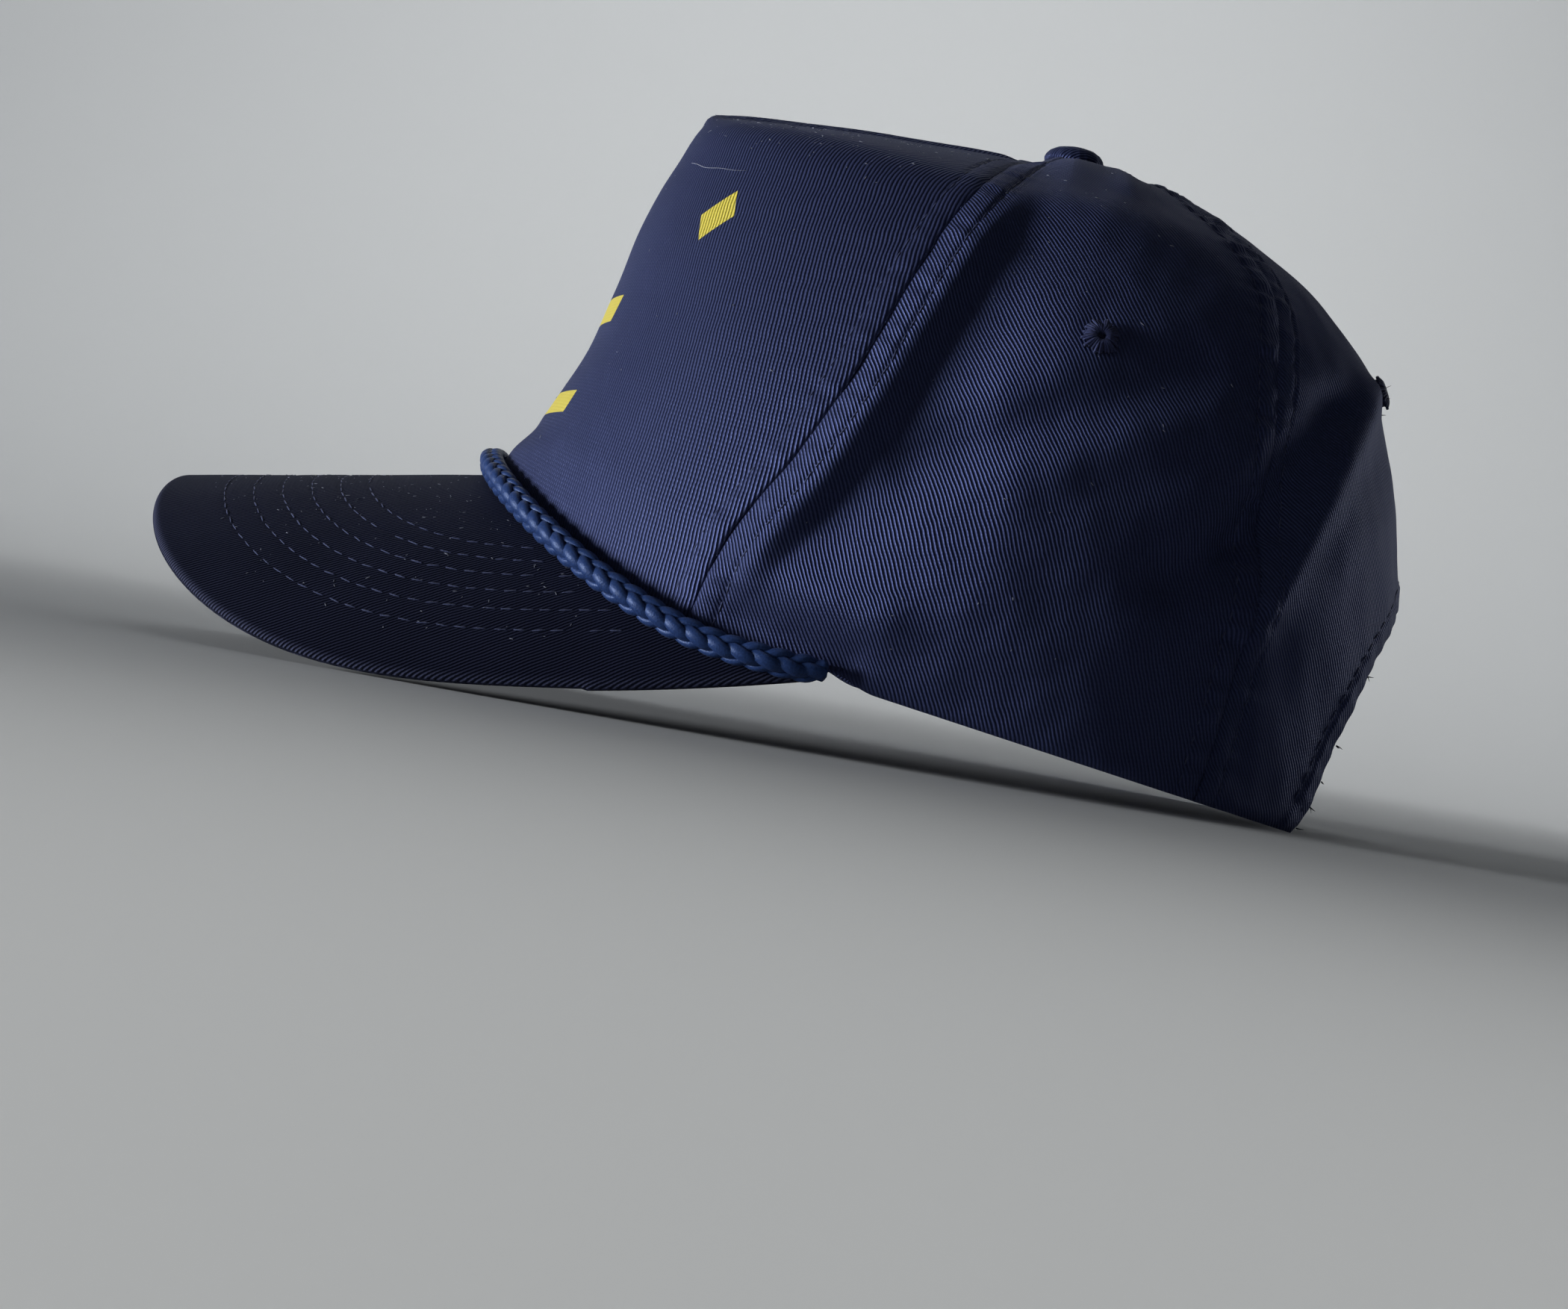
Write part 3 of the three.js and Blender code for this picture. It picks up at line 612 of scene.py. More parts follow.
# The front panel is fuller at its folded corner, at its brow and at its foot, and hollow above the foot. The
# dart on its top is pressed open to a strip, with a groove in the middle and a row of stitches on each side.
FRONT = {"uneven": 0.12, "unevenSize": 34, "fullTo": (10, 38),
         "corner": (-29.9, 129.9, -29.3, 130.3), "cornerRise": 0.8, "cornerWidth": 2,
         "brow": (-44, 103, -39, 112), "browRise": 0.5, "browWidth": 8,
         "foot": 1.8, "footTo": (49, 57), "footAcross": (14, 44),
         "hollow": 0.9, "hollowZ": 75, "hollowWidth": 9,
         "strip": 0.3, "stripTo": (3, 4), "groove": 0.5, "grooveWidth": 0.5, "pull": 0.25, "row": 2.4,
         "topFrom": (5.2, 6.2), "topAhead": (-3, 5)}
# A side panel stands up in a soft ridge behind the front seam, and sinks into a trough behind the ridge.
SIDE = {"ridge": 1.9, "ridgeFrom": (0.4, 7.2), "ridgeTo": (7.2, 12.5), "trough": 1.1, "troughFrom": (7, 13),
        "troughTo": (13, 48), "low": (0.3, 1.6), "high": (4.8, 6.6)}


def front_relief(points, level):
    rise = FRONT["uneven"] * ripples(points, FRONT["unevenSize"], 3) + hem_relief(level)
    for side in (1, -1):
        rise = rise + seam_relief(points, seams["frontSeam", side], 11 + side, 0.5)
    across, high = np.abs(points[:, 0]), points[:, 2]
    full = 0
    for place in ("corner", "brow"):
        away, _ = near_line(points[:, 1:], np.array(FRONT[place][:2]), FRONT[place][2:])
        full = full + FRONT[place + "Rise"] * hump(away, FRONT[place + "Width"])
    rise = rise + full * (1 - ease(*FRONT["fullTo"], across))
    foot = FRONT["foot"] * (1 - ease(*FRONT["footTo"], high))
    foot = foot - FRONT["hollow"] * hump(high - FRONT["hollowZ"], FRONT["hollowWidth"])
    rise = rise + foot * (1 - ease(*FRONT["footAcross"], across))
    strip = FRONT["strip"] * (1 - ease(*FRONT["stripTo"], across))
    strip = strip - FRONT["groove"] * hump(across, FRONT["grooveWidth"])
    strip = strip - FRONT["pull"] * hump(across - FRONT["row"], FRONT["grooveWidth"])
    on_top = ease(*FRONT["topFrom"], level) * ease(*FRONT["topAhead"], points[:, 1] - DART["startY"])
    return rise + strip * on_top


def slack(points, broad, fine, seed):
    """Broad and fine unevenness of cloth that nothing stiffens, with waves of those two lengths."""
    return 0.2 * ripples(points, broad, seed) + 0.08 * ripples(points, fine, seed + 3)


def side_relief(points, level):
    side = 1 if points[0, 0] > 0 else -1
    rise = slack(points, 26, 11, 5 + side) + hem_relief(level)
    rise = rise + seam_relief(points, seams["frontSeam", side], 21 + side, 0.7)
    rise = rise + seam_relief(points, seams["rearSeam", side], 31 + side, 1.5)
    behind, _ = near_path(points, seams["frontSeam", side])
    ridge = SIDE["ridge"] * ease(*SIDE["ridgeFrom"], behind) * (1 - ease(*SIDE["ridgeTo"], behind))
    ridge = ridge - SIDE["trough"] * ease(*SIDE["troughFrom"], behind) * (1 - ease(*SIDE["troughTo"], behind))
    ridge = ridge * ease(*SIDE["low"], level) * (1 - ease(*SIDE["high"], level))
    return rise + ridge + eyelet_relief(points)


# The arch at the back: half an ellipse whose feet are spread a little at the rim.
ARCH = {"halfWidth": 41.5, "height": 51.4, "footSpread": 3.6, "footHeight": 4}


def crown_place_of(x, z):
    """Angle and level at which the back of the crown has this x and z, closed in on step by step."""
    turn_step, level_step, highest = 0.002, 0.01, 9
    first_radius, level_rise = 64, 26.5
    angle = math.pi - np.arcsin(np.clip(x / first_radius, -1, 1))
    level = np.clip((z + 1) / level_rise, 0.001, highest)
    for _ in range(14):
        here = crown_point(angle, level)
        by_angle = (crown_point(angle + turn_step, level) - here) / turn_step
        by_level = (crown_point(angle, level + level_step) - here) / level_step
        off = np.stack([x - here[:, 0], z - here[:, 2]], -1)
        turn = by_angle[:, 0] * by_level[:, 2] - by_angle[:, 2] * by_level[:, 0]
        angle = angle + (off[:, 0] * by_level[:, 2] - off[:, 1] * by_level[:, 0]) / turn
        climb = (by_angle[:, 0] * off[:, 1] - by_angle[:, 2] * off[:, 0]) / turn
        level = np.clip(level + climb, 0.0005, highest)
    return angle, level


arch_z = ARCH["height"] * np.sin(np.linspace(0, 1, 120) ** 0.9 * math.pi / 2)
arch_share = arch_z / ARCH["height"]
arch_x = ARCH["halfWidth"] * np.sqrt(np.maximum(0, 1 - arch_share ** 2))
arch_x = arch_x + ARCH["footSpread"] * np.exp(-arch_z / ARCH["footHeight"])
arch_x = arch_x * (1 - ease(0.995, 1, arch_share))
arch_angle, arch_level = crown_place_of(arch_x, arch_z)
foot_x = ARCH["halfWidth"] + ARCH["footSpread"]
first_radius, step_radius = 95, 80
foot_angle = math.pi - math.asin(foot_x / first_radius)
for _ in range(20):
    foot_angle += (float(crown_point(foot_angle, 0.0)[0]) - foot_x) / step_radius
arch_angle = np.concatenate([[foot_angle], arch_angle])
arch_level = np.concatenate([[0], arch_level])
arch_angle[-1] = math.pi
arch_edge = crown_point(arch_angle, arch_level)


def back_relief(points, level):
    side = 1 if points[:, 0].mean() > 0 else -1
    rise = slack(points, 24, 10, 15 + side) + hem_relief(level)
    rise = rise + seam_relief(points, seams["rearSeam", side], 41 + side, 1.3)
    rise = rise + seam_relief(points, seams["centreBack"], 51 + side, 0.8)
    hem, along = near_path(points * (side, 1, 1), arch_edge)
    past_row = hem - HEM["row"]
    rise = rise - HEM["drop"] * (1 - ease(0, 1, hem)) + HEM["lift"] * (1 - ease(*HEM["liftTo"], past_row))
    rise = rise - HEM["pull"] * hump(past_row, HEM["pullWidth"])
    rise = rise + HEM["wave"] * np.sin(along * HEM["waveTurn"]) * hump(hem, HEM["waveWidth"])
    return rise + eyelet_relief(points)


def on_cloth(angle, level, relief, above=0.0):
    """Places on, or just above, a panel's finished face, and the directions in which they face."""
    points, normals = crown_point(angle, level), crown_normal(angle, level)
    return points + normals * (relief(points, level) + above)[:, None], normals


def between_seams(left, right):
    """Columns from one seam to the next, in even rows up the panel's middle."""
    def middle(level):
        return (left(level) + right(level)) / 2

    levels, climb = climb_line(middle)

    def domain(s, t):
        level = np.interp(t * climb[-1], climb, levels)
        return left(level) + (right(level) - left(level)) * s, level

    return middle, domain


def behind_seam(side):
    """Columns that stand on the rim as far as the arch's foot, then on the arch, and end round the button."""
    rear = turn_of("rearSeam")

    def middle(level):
        return side * (rear(level) + math.pi) / 2

    levels, climb = climb_line(middle)
    rim_angles = np.linspace(float(rear(0.0)), foot_angle, 30)[:-1]
    bottom_angle = np.concatenate([rim_angles, arch_angle])
    bottom_level = np.concatenate([rim_angles * 0, arch_level])
    bottom = crown_point(bottom_angle, bottom_level)
    run = lengths_along(bottom)
    run /= run[-1]
    share = (bottom_angle - rear(bottom_level)) / (math.pi - rear(bottom_level))

    def domain(s, t):
        s = s if side > 0 else 1 - s
        start = np.interp(np.interp(s, run, bottom_level), levels, climb)
        level = np.interp((1 - t) * start + t * climb[-1], climb, levels)
        across = (1 - t) * np.interp(s, run, share) + t * s
        return side * (rear(level) + (math.pi - rear(level)) * across), level

    return middle, domain


def crown_panel(name, columns, rows, middle, domain, relief, turn=0.0, bow=0.0):
    """One panel of cloth. Its ribs turn with the panel's cut and bow with the pull on a stiffened one."""
    levels, climb = climb_line(middle)

    def place(s, t):
        angle, level = domain(s, t)
        points, _ = on_cloth(angle, level, relief)
        u = arc_length(angle, level) - arc_length(middle(level), level)
        v = np.interp(level, levels, climb)
        lean = u * math.cos(turn) + v * math.sin(turn) + bow * (v - climb[-1] * 0.3) ** 2
        cloth = np.stack([lean, v * math.cos(turn) - u * math.sin(turn)], -1)
        if relief != front_relief:
            return points, cloth
        return points, cloth, np.stack([arc_length(angle, level), points[:, 2]], -1)

    piece = sheet_of(name, columns, rows, place)
    bm = bmesh.new()
    bm.from_mesh(piece.data)
    for spot, _ in eyelet_spots.values():
        hole = Vector((spot + shift) * mm)
        faces = [f for f in bm.faces if (f.calc_center_median() - hole).length < EYELET_SEAT["hole"] * mm]
        bmesh.ops.delete(bm, geom=faces, context="FACES")
    bm.to_mesh(piece.data)
    bm.free()
    thickened(piece, 1.5)
    return piece


front_edges = between_seams(turn_of("frontSeam", -1), turn_of("frontSeam"))
left_edges = between_seams(turn_of("frontSeam"), turn_of("rearSeam"))
right_edges = between_seams(turn_of("rearSeam", -1), turn_of("frontSeam", -1))
for node, edges, relief, size, turn, bow in (
        ("front_panel", front_edges, front_relief, (200, 170), 0, 0.0016),
        ("side_panel_left", left_edges, side_relief, (160, 185), 0.15, 0),
        ("side_panel_right", right_edges, side_relief, (160, 185), 0.15, 0),
        ("back_panel_left", behind_seam(1), back_relief, (134, 144), 0.2, 0),
        ("back_panel_right", behind_seam(-1), back_relief, (134, 144), 0.2, 0)):
    cloth_panel = crown_panel(node + "_cloth", *size, *edges, relief, turn, bow)
    finished(cloth_panel, front_twill if node == "front_panel" else crown_twill, "crown_twill", node)
    if node == "front_panel":
        cloth_panel.data.materials.append(crown_twill)
        cloth_panel.modifiers["wall"].material_offset = 1
        cloth_panel.modifiers["wall"].material_offset_rim = 1


# Topstitching: rows of thread on both sides of every seam, along the dart and round the arch's hem.
STITCH = {"length": 2.9, "step": 3.8, "thickness": 0.36, "wander": 0.2, "skew": 0.07, "proud": 0.05,
          "topLevel": 8.4}


def fibres(name, colour, dark, roughness, strands=2600.0, sheen=0.1):
    """Twisted thread or cord: fine fibres along it, a little uneven in colour."""
    material, new, shader = fresh_material(name)
    tone = noise(new, new("ShaderNodeTexCoord").outputs["Object"], strands)
    bump = new("ShaderNodeBump", {"Height": tone, "Distance": 0.08 * mm})
    feed(shader, {"Base Color": mixed(new, tone, dark, colour), "Normal": bump.outputs[0],
                  "Roughness": roughness, "Specular Tint": (0.45, 0.6, 1.0, 1), "Sheen Weight": sheen})
    return material


stitch_thread = fibres("stitch_thread", (0.08, 0.092, 0.2), (0.02, 0.024, 0.055), 0.6)


def stitch_places(rows, random, skip):
    """One matrix for each stitch, which turns and stretches a round bead into its place."""
    for path, normals in rows:
        run = lengths_along(path)
        for at in np.arange(1.0, run[-1] - STITCH["length"], STITCH["step"]):
            if random.uniform() < skip:
                continue
            at = at + random.uniform(-STITCH["wander"], STITCH["wander"])
            stops = at + np.array([0, STITCH["length"] / 2, STITCH["length"]])
            start, centre, end = (Vector(place_along(path, run, stop)) for stop in stops)
            normal = Vector(place_along(normals, run, stops[1])).normalized()
            along = (end - start).normalized()
            along.rotate(Matrix.Rotation(random.normal(0, STITCH["skew"]), 3, normal))
            turn = Matrix((normal.cross(along), along, normal)).transposed().to_4x4()
            thick = STITCH["thickness"] * random.uniform(0.85, 1.15)
            size = Matrix.Diagonal((thick, STITCH["length"] * random.uniform(0.9, 1.05), thick * 0.9, 1))
            yield Matrix.Translation(centre + Vector(shift) + normal * STITCH["proud"]) @ turn @ size


def beads(name, places, material, slot):
    """One mesh made of the same round bead many times, each turned and stretched into its place."""
    bm = bmesh.new()
    bead = bmesh.ops.create_uvsphere(bm, u_segments=6, v_segments=4, radius=0.5)["verts"]
    bmesh.ops.rotate(bm, verts=bead, matrix=Matrix.Rotation(math.pi / 2, 3, "X"))
    piece = object_of(bm, name)
    mesh = piece.data
    round_bead = np.array([(*v.co, 1) for v in mesh.vertices])
    bm = bmesh.new()
    for _ in places:
        bm.from_mesh(mesh)
    bm.to_mesh(mesh)
    bm.free()
    points = np.concatenate([round_bead @ np.array(place).T for place in places])[:, :3] * mm
    mesh.vertices.foreach_set("co", points.ravel())
    mesh.update()
    return finished(piece, material, slot)


def stitched(name, rows, seed, slot, skip=0.0):
    """Rows of stitches: a bead pulled out along the row for each, half sunk in the cloth."""
    return beads(name, list(stitch_places(rows, np.random.default_rng(seed), skip)), stitch_thread, slot)


def row_beside(column, side, direction, relief, from_level=0.05):
    """A row of places at the topstitching's distance from a seam, on one of its two panels."""
    levels = np.linspace(from_level, STITCH["topLevel"], 130)
    seam_angle = side * (np.radians(level_value(column, levels)) if column else levels * 0 + math.pi)
    x, y = oval(seam_angle, levels)
    radius = np.hypot(x, y - level_value("midY", levels))
    tries = np.linspace(0.7, 2.3, 17)
    angles = seam_angle[:, None] + direction * tries * SEAM["row"] / radius[:, None]
    places = crown_point(angles, levels[:, None] + angles * 0)
    line = seams[column, side] if column else seams["centreBack"]
    away, _ = near_path(places.reshape(-1, 3), line)
    away = np.maximum.accumulate(away.reshape(angles.shape), axis=1)
    picked = np.array([np.interp(SEAM["row"], *tried) for tried in zip(away, angles * direction)]) * direction
    return on_cloth(picked, levels, relief)


DART_ROW = {"levels": (6.75, 9.0), "out": 2.4}
crown_rows = []
for side in (1, -1):
    for column, direction, relief in (("frontSeam", -side, front_relief), ("frontSeam", side, side_relief),
                                      ("rearSeam", -side, side_relief), ("rearSeam", side, back_relief)):
        crown_rows.append(row_beside(column, side, direction, relief))
    crown_rows.append(row_beside(None, side, -side, back_relief, from_level=float(arch_level[-1]) + 0.1))
    dart_levels = np.linspace(*DART_ROW["levels"], 60)
    dart_angle = dart_levels * 0 + 0.03
    for _ in range(4):
        dart_angle = dart_angle * DART_ROW["out"] / oval(dart_angle, dart_levels)[0]
    crown_rows.append(on_cloth(side * dart_angle, dart_levels, front_relief))
    edge_x, edge_z = arch_x[3:-6], arch_z[3:-6]
    slope = unit(np.stack([np.gradient(edge_x), np.gradient(edge_z)], -1)) * HEM["row"]
    hem_angle, hem_level = crown_place_of(edge_x + slope[:, 1], edge_z - slope[:, 0])
    crown_rows.append(on_cloth(side * hem_angle, hem_level, back_relief))
stitched("crown_topstitching", crown_rows, 7, "crown_twill")


# Eyelets: buttonhole stitches set close together round a small hole in four of the panels. Each stitch is a
# thread that climbs out of the hole, lies over the padding under it and dives into the cloth.
EYELET = {"radius": 3.9, "hole": 0.85, "loops": 30, "thread": 0.3, "steps": 9, "wander": 0.04,
          "reach": (0.86, 1.08), "seat": 0.3, "arch": 0.55, "archFrom": 0.25, "archRun": 0.85,
          "outerDrop": 0.25, "innerDrop": 0.2}
PADDING = ((0.1, 0.25), (0.6, 0.42), (1.4, 0.35), (2.2, 0.1), (2.25, -1.6))
eyelet_thread = fibres("eyelet_thread", (0.055, 0.063, 0.17), (0.014, 0.016, 0.045), 0.6, sheen=0.1)


def grown(bm, operator, **start):
    """Extrudes edges or a face, and gives the new corners, edges and faces apart."""
    made = operator(bm, **start)["geom"]
    return [[part for part in made if isinstance(part, kind)]
            for kind in (bmesh.types.BMVert, bmesh.types.BMEdge, bmesh.types.BMFace)]


def eyelet_stitch(bm, around, reach):
    ring = bmesh.ops.create_circle(bm, cap_ends=True, segments=6, radius=EYELET["thread"])["verts"]
    stops = []
    for share in np.arange(EYELET["steps"] + 1) / EYELET["steps"]:
        out = EYELET["hole"] + (reach - EYELET["hole"]) * share
        arch = EYELET["arch"] * math.sin(math.pi * min(1, EYELET["archFrom"] + share * EYELET["archRun"]))
        high = EYELET["seat"] + arch - EYELET["outerDrop"] * share ** 3
        high -= EYELET["innerDrop"] * (1 - share) ** 4
        stops.append(Vector((out * math.cos(around), out * math.sin(around), high)))
    heading = Matrix.Rotation(around, 4, "Z") @ Matrix.Rotation(math.pi / 2, 4, "Y")
    bmesh.ops.transform(bm, verts=ring, matrix=Matrix.Translation(stops[0]) @ heading)
    face = [f for f in bm.faces if all(v in ring for v in f.verts)]
    for before, after in zip(stops[:-1], stops[1:]):
        verts, _, next_face = grown(bm, bmesh.ops.extrude_face_region, geom=face)
        bmesh.ops.delete(bm, geom=face, context="FACES_ONLY")
        bmesh.ops.translate(bm, verts=verts, vec=after - before)
        face = next_face


for number, (name, (spot, normal)) in enumerate(eyelet_spots.items()):
    random = np.random.default_rng(60 + number)
    up = Vector(normal)
    level_x = up.cross(Vector((0, 0, 1))).normalized()
    turn = Matrix((level_x, up.cross(level_x), up)).transposed().to_4x4()
    bm = bmesh.new()
    for loop in range(EYELET["loops"]):
        around = loop / EYELET["loops"] * 2 * math.pi + random.normal(0, EYELET["wander"])
        eyelet_stitch(bm, around, EYELET["radius"] * random.uniform(*EYELET["reach"]))
    base = bmesh.ops.create_circle(bm, segments=24, radius=EYELET["hole"] + 0.15)["verts"]
    bmesh.ops.translate(bm, verts=base, vec=(0, 0, PADDING[-1][1]))
    rim = [e for e in bm.edges if all(v in base for v in e.verts)]
    for out, high in PADDING:
        verts, rim, _ = grown(bm, bmesh.ops.extrude_edge_only, edges=rim)
        for v in verts:
            flat = v.co.to_2d().normalized() * (EYELET["hole"] + out)
            v.co = (flat.x, flat.y, high)
    bmesh.ops.recalc_face_normals(bm, faces=bm.faces)
    bmesh.ops.transform(bm, verts=bm.verts, matrix=turn @ Matrix.Scale(mm, 4))
    bmesh.ops.translate(bm, verts=bm.verts, vec=(spot + shift) * mm)
    finished(object_of(bm, name + "_thread"), eyelet_thread, "eyelet_thread", name)


# Button: a domed disc covered in the crown's twill, riveted over the place where the panels meet.
BUTTON = {"baseZ": 134.2, "gathers": 0.12, "gatherCount": 17}
# Half of the button's outline, from the foot of its shank to the middle of its top: radius and height.
BUTTON_PROFILE = np.array([(0, -5.2), (1.3, -5.2), (1.3, 0.3), (5.2, 0), (6.3, 0.35), (6.6, 1.1), (6.3, 2.0),
                           (5.6, 2.9), (4.4, 3.6), (2.6, 4.05), (0, 4.2)])


def button_place(s, t):
    around = s * 2 * math.pi
    run = lengths_along(BUTTON_PROFILE)
    at = t * run[-1]
    radius, high = (np.interp(at, run, BUTTON_PROFILE[:, i]) for i in range(2))
    at_edge = ease(run[3], run[5], at) * (1 - ease(run[5], run[8], at))
    gathers = BUTTON["gathers"] * np.sin(around * BUTTON["gatherCount"] + 2 * np.sin(around * 3))
    radius = radius + gathers * at_edge
    points = np.stack([radius * np.cos(around), HOLE_Y + radius * np.sin(around), BUTTON["baseZ"] + high], -1)
    rest = run[-1] - at
    return points, np.stack([rest * np.cos(around), rest * np.sin(around)], -1)


finished(closed(sheet_of("top_button_cover", 72, 60, button_place)), crown_twill, "crown_twill", "top_button")


# Peak: a stiff board bent over the brow, covered above and below in twill and quilted by six rows of
# stitches that follow its outline.
PEAK.update({"halfWidth": 79.9, "length": 100, "rootY": -30, "square": 3.5, "taper": 0.02, "taperY": -20,
             "sideDrop": 1, "sideLength": 40, "thickness": 2.8, "inset": 3.2, "hubY": 30, "endAngle": 76.5,
             "nearest": 70.0, "furthest": 175.0, "uneven": 0.05, "unevenSize": 20})
ROWS = {"count": 6, "outerHalf": 72.5, "innerHalf": 55.5, "outerReach": 87.1, "innerReach": 58, "square": 3.1,
        "pull": 0.12, "pullWidth": 0.6, "proud": 0.13, "lean": 0.17}


def peak_half_width(y):
    """Half the board's width at a place along it, down to nothing at its tip."""
    behind = PEAK["halfWidth"] - PEAK["sideDrop"] * ((y - PEAK["rootY"]) / PEAK["sideLength"]) ** 2
    forward = np.clip((PEAK["rootY"] - y) / PEAK["length"], 0, 1)
    widest = PEAK["halfWidth"] + PEAK["taper"] * (np.minimum(y, PEAK["taperY"]) - PEAK["taperY"])
    ahead = widest * (1 - forward ** PEAK["square"]) ** (1 / PEAK["square"])
    return np.where(y > PEAK["rootY"], behind, ahead)


def peak_reach(angle):
    """How far the board's outline lies from the hub, which lies inside the crown."""
    near = np.full(angle.shape, PEAK["nearest"])
    far = np.full(angle.shape, PEAK["furthest"])
    for _ in range(40):
        middle = (near + far) / 2
        y = PEAK["hubY"] - middle * np.cos(angle)
        inside = (y > PEAK["rootY"] - PEAK["length"]) & (np.abs(middle * np.sin(angle)) < peak_half_width(y))
        near = np.where(inside, middle, near)
        far = np.where(inside, far, middle)
    return near


def row_shape(number):
    share = number / (ROWS["count"] - 1)
    half = ROWS["outerHalf"] + (ROWS["innerHalf"] - ROWS["outerHalf"]) * share
    reach = ROWS["outerReach"] + (ROWS["innerReach"] - ROWS["outerReach"]) * share
    return half, reach


def row_distance(x, y, number):
    """How far a place on the board lies outside a row of stitches."""
    half, reach = row_shape(number)

    def value(x, y):
        ahead = np.maximum(PEAK["rootY"] - y, 0) / reach
        return ((np.abs(x) / half) ** ROWS["square"] + ahead ** ROWS["square"] + 1e-9) ** (1 / ROWS["square"])

    step = 0.05
    by_x = value(x + step, y) - value(x - step, y)
    by_y = value(x, y + step) - value(x, y - step)
    return (value(x, y) - 1) / np.maximum(np.hypot(by_x, by_y) / (2 * step), 1e-4)


def quilting(x, y):
    rows = (hump(row_distance(x, y, number), ROWS["pullWidth"]) for number in range(ROWS["count"]))
    return -ROWS["pull"] * sum(rows)


def board_point(x, y, depth):
    """A place in the bent board, so far below its upper face."""
    bend = np.arcsin(np.clip(x / PEAK["bend"], -1, 1))
    shell = PEAK["bend"] - depth
    return np.stack([shell * np.sin(bend), y, peak_top(0, y) - PEAK["bend"] + shell * np.cos(bend)], -1)


TOP_ROWS, EDGE_ROWS, UNDER_ROWS = 190, 12, 60


def peak_place(s, t):
    """Over the top from the crown to the edge, half round the edge, back underneath and up to close."""
    angle = np.radians(PEAK["endAngle"]) * (2 * s - 1)
    inner_x, inner_y = oval(angle, angle * 0)
    start = np.hypot(inner_x, inner_y - PEAK["hubY"]) - PEAK["inset"]
    edge = PEAK["thickness"] / 2
    stop = peak_reach(angle) - edge
    total = TOP_ROWS + EDGE_ROWS + UNDER_ROWS + 2
    at = t * total
    top = np.clip(at / TOP_ROWS, 0, 1)
    under = np.clip((at - TOP_ROWS - EDGE_ROWS) / UNDER_ROWS, 0, 1)
    turn = np.clip((at - TOP_ROWS) / EDGE_ROWS, 0, 1) * math.pi
    radius = start + (stop - start) * (top - under) + edge * np.sin(turn)
    depth = edge * (1 - np.cos(turn))
    closing = np.clip((at - TOP_ROWS - EDGE_ROWS - UNDER_ROWS) / 2, 0, 1)
    depth = depth * (1 - closing)
    x = radius * np.sin(angle)
    y = PEAK["hubY"] - radius * np.cos(angle)
    facing = np.cos(turn)
    uneven = PEAK["uneven"] * ripples(np.stack([x, y, x * 0], -1), PEAK["unevenSize"], 71)
    cloth = (quilting(x, y) * np.abs(facing) + uneven) * ease(0, 3, at) * ease(total, total - 3, at)
    points = board_point(x, y, depth - cloth * facing)
    spread = PEAK["bend"] * np.arcsin(np.clip(x / PEAK["bend"], -1, 1))
    side = np.where(facing >= 0, 1.0, -1.0)
    # How far round the folded edge a place lies, which sets the painted highlight on the edge.
    edge_highlight_share = np.sin(turn) / mm
    return points, np.stack([spread * side, y], -1), np.stack([edge_highlight_share, edge_highlight_share], -1)


def edge_highlight(new, ridge):
    """Painted highlight: how pale the ribs are painted along the peak's folded edge, as if light fell on it
    there.
    """
    return maths(new, "MULTIPLY", maths(new, "MULTIPLY", marks_place(new)[0], ridge), 0.9, clamp=True)


peak = closed(sheet_of("peak_cloth", 250, TOP_ROWS + EDGE_ROWS + UNDER_ROWS + 2, peak_place))
# The peak's twill: its grooves painted darker as shade, and a pale painted highlight on the ribs of its
# folded edge.
peak_twill = twill("peak_twill", (0.016, 0.0175, 0.038), (0.0015, 0.0018, 0.004), roughness=0.6, gloss=0.3,
                   dense=1.5, marks=edge_highlight, mark_colour=(0.065, 0.07, 0.12))
finished(peak, peak_twill, "peak_twill", "peak")
peak_rows = []
for number in range(ROWS["count"]):
    half, reach = row_shape(number)
    turn = np.linspace(-1, 1, 500) * math.pi / 2
    power = 2 / ROWS["square"]
    x = half * np.sign(turn) * np.abs(np.sin(turn)) ** power
    y = PEAK["rootY"] - reach * np.abs(np.cos(turn)) ** power
    sides = np.linspace(0, PEAK["rootY"], 60)[:-1]
    x = np.concatenate([-half + sides * 0, x, half + sides * 0])
    y = np.concatenate([sides, y, sides[::-1]])
    inner_x, inner_y = oval(np.arctan2(x, PEAK["hubY"] - y), x * 0)
    outside = np.hypot(x, y - PEAK["hubY"]) > np.hypot(inner_x, inner_y - PEAK["hubY"]) + 3
    x, y = x[outside], y[outside]
    slant = x / PEAK["bend"]
    normal = unit(np.stack([slant, x * 0 - ROWS["lean"], np.sqrt(1 - slant ** 2)], -1))
    for side, depth in ((1, ROWS["proud"]), (-1, PEAK["thickness"] - ROWS["proud"])):
        peak_rows.append((board_point(x, y, depth + x * 0), normal * side))
stitched("peak_quilting", peak_rows, 9, "peak_twill", 0.03)


# Rope: a round braid of eight shiny blue strands, four each way, sewn along the foot of the front panel and
# tucked in at its ends. Four strands lie over the others up its face and back, the other four at its sides.
ROPE = {"diameter": 5.4, "out": 1.3, "tuckFrom": 60, "tuckTo": 85, "endAngle": 79, "drop": 1.8,
        "pitch": 18.8, "over": 1.95, "under": 0.95, "wide": 1.32, "thick": 0.9, "neck": 0.42}


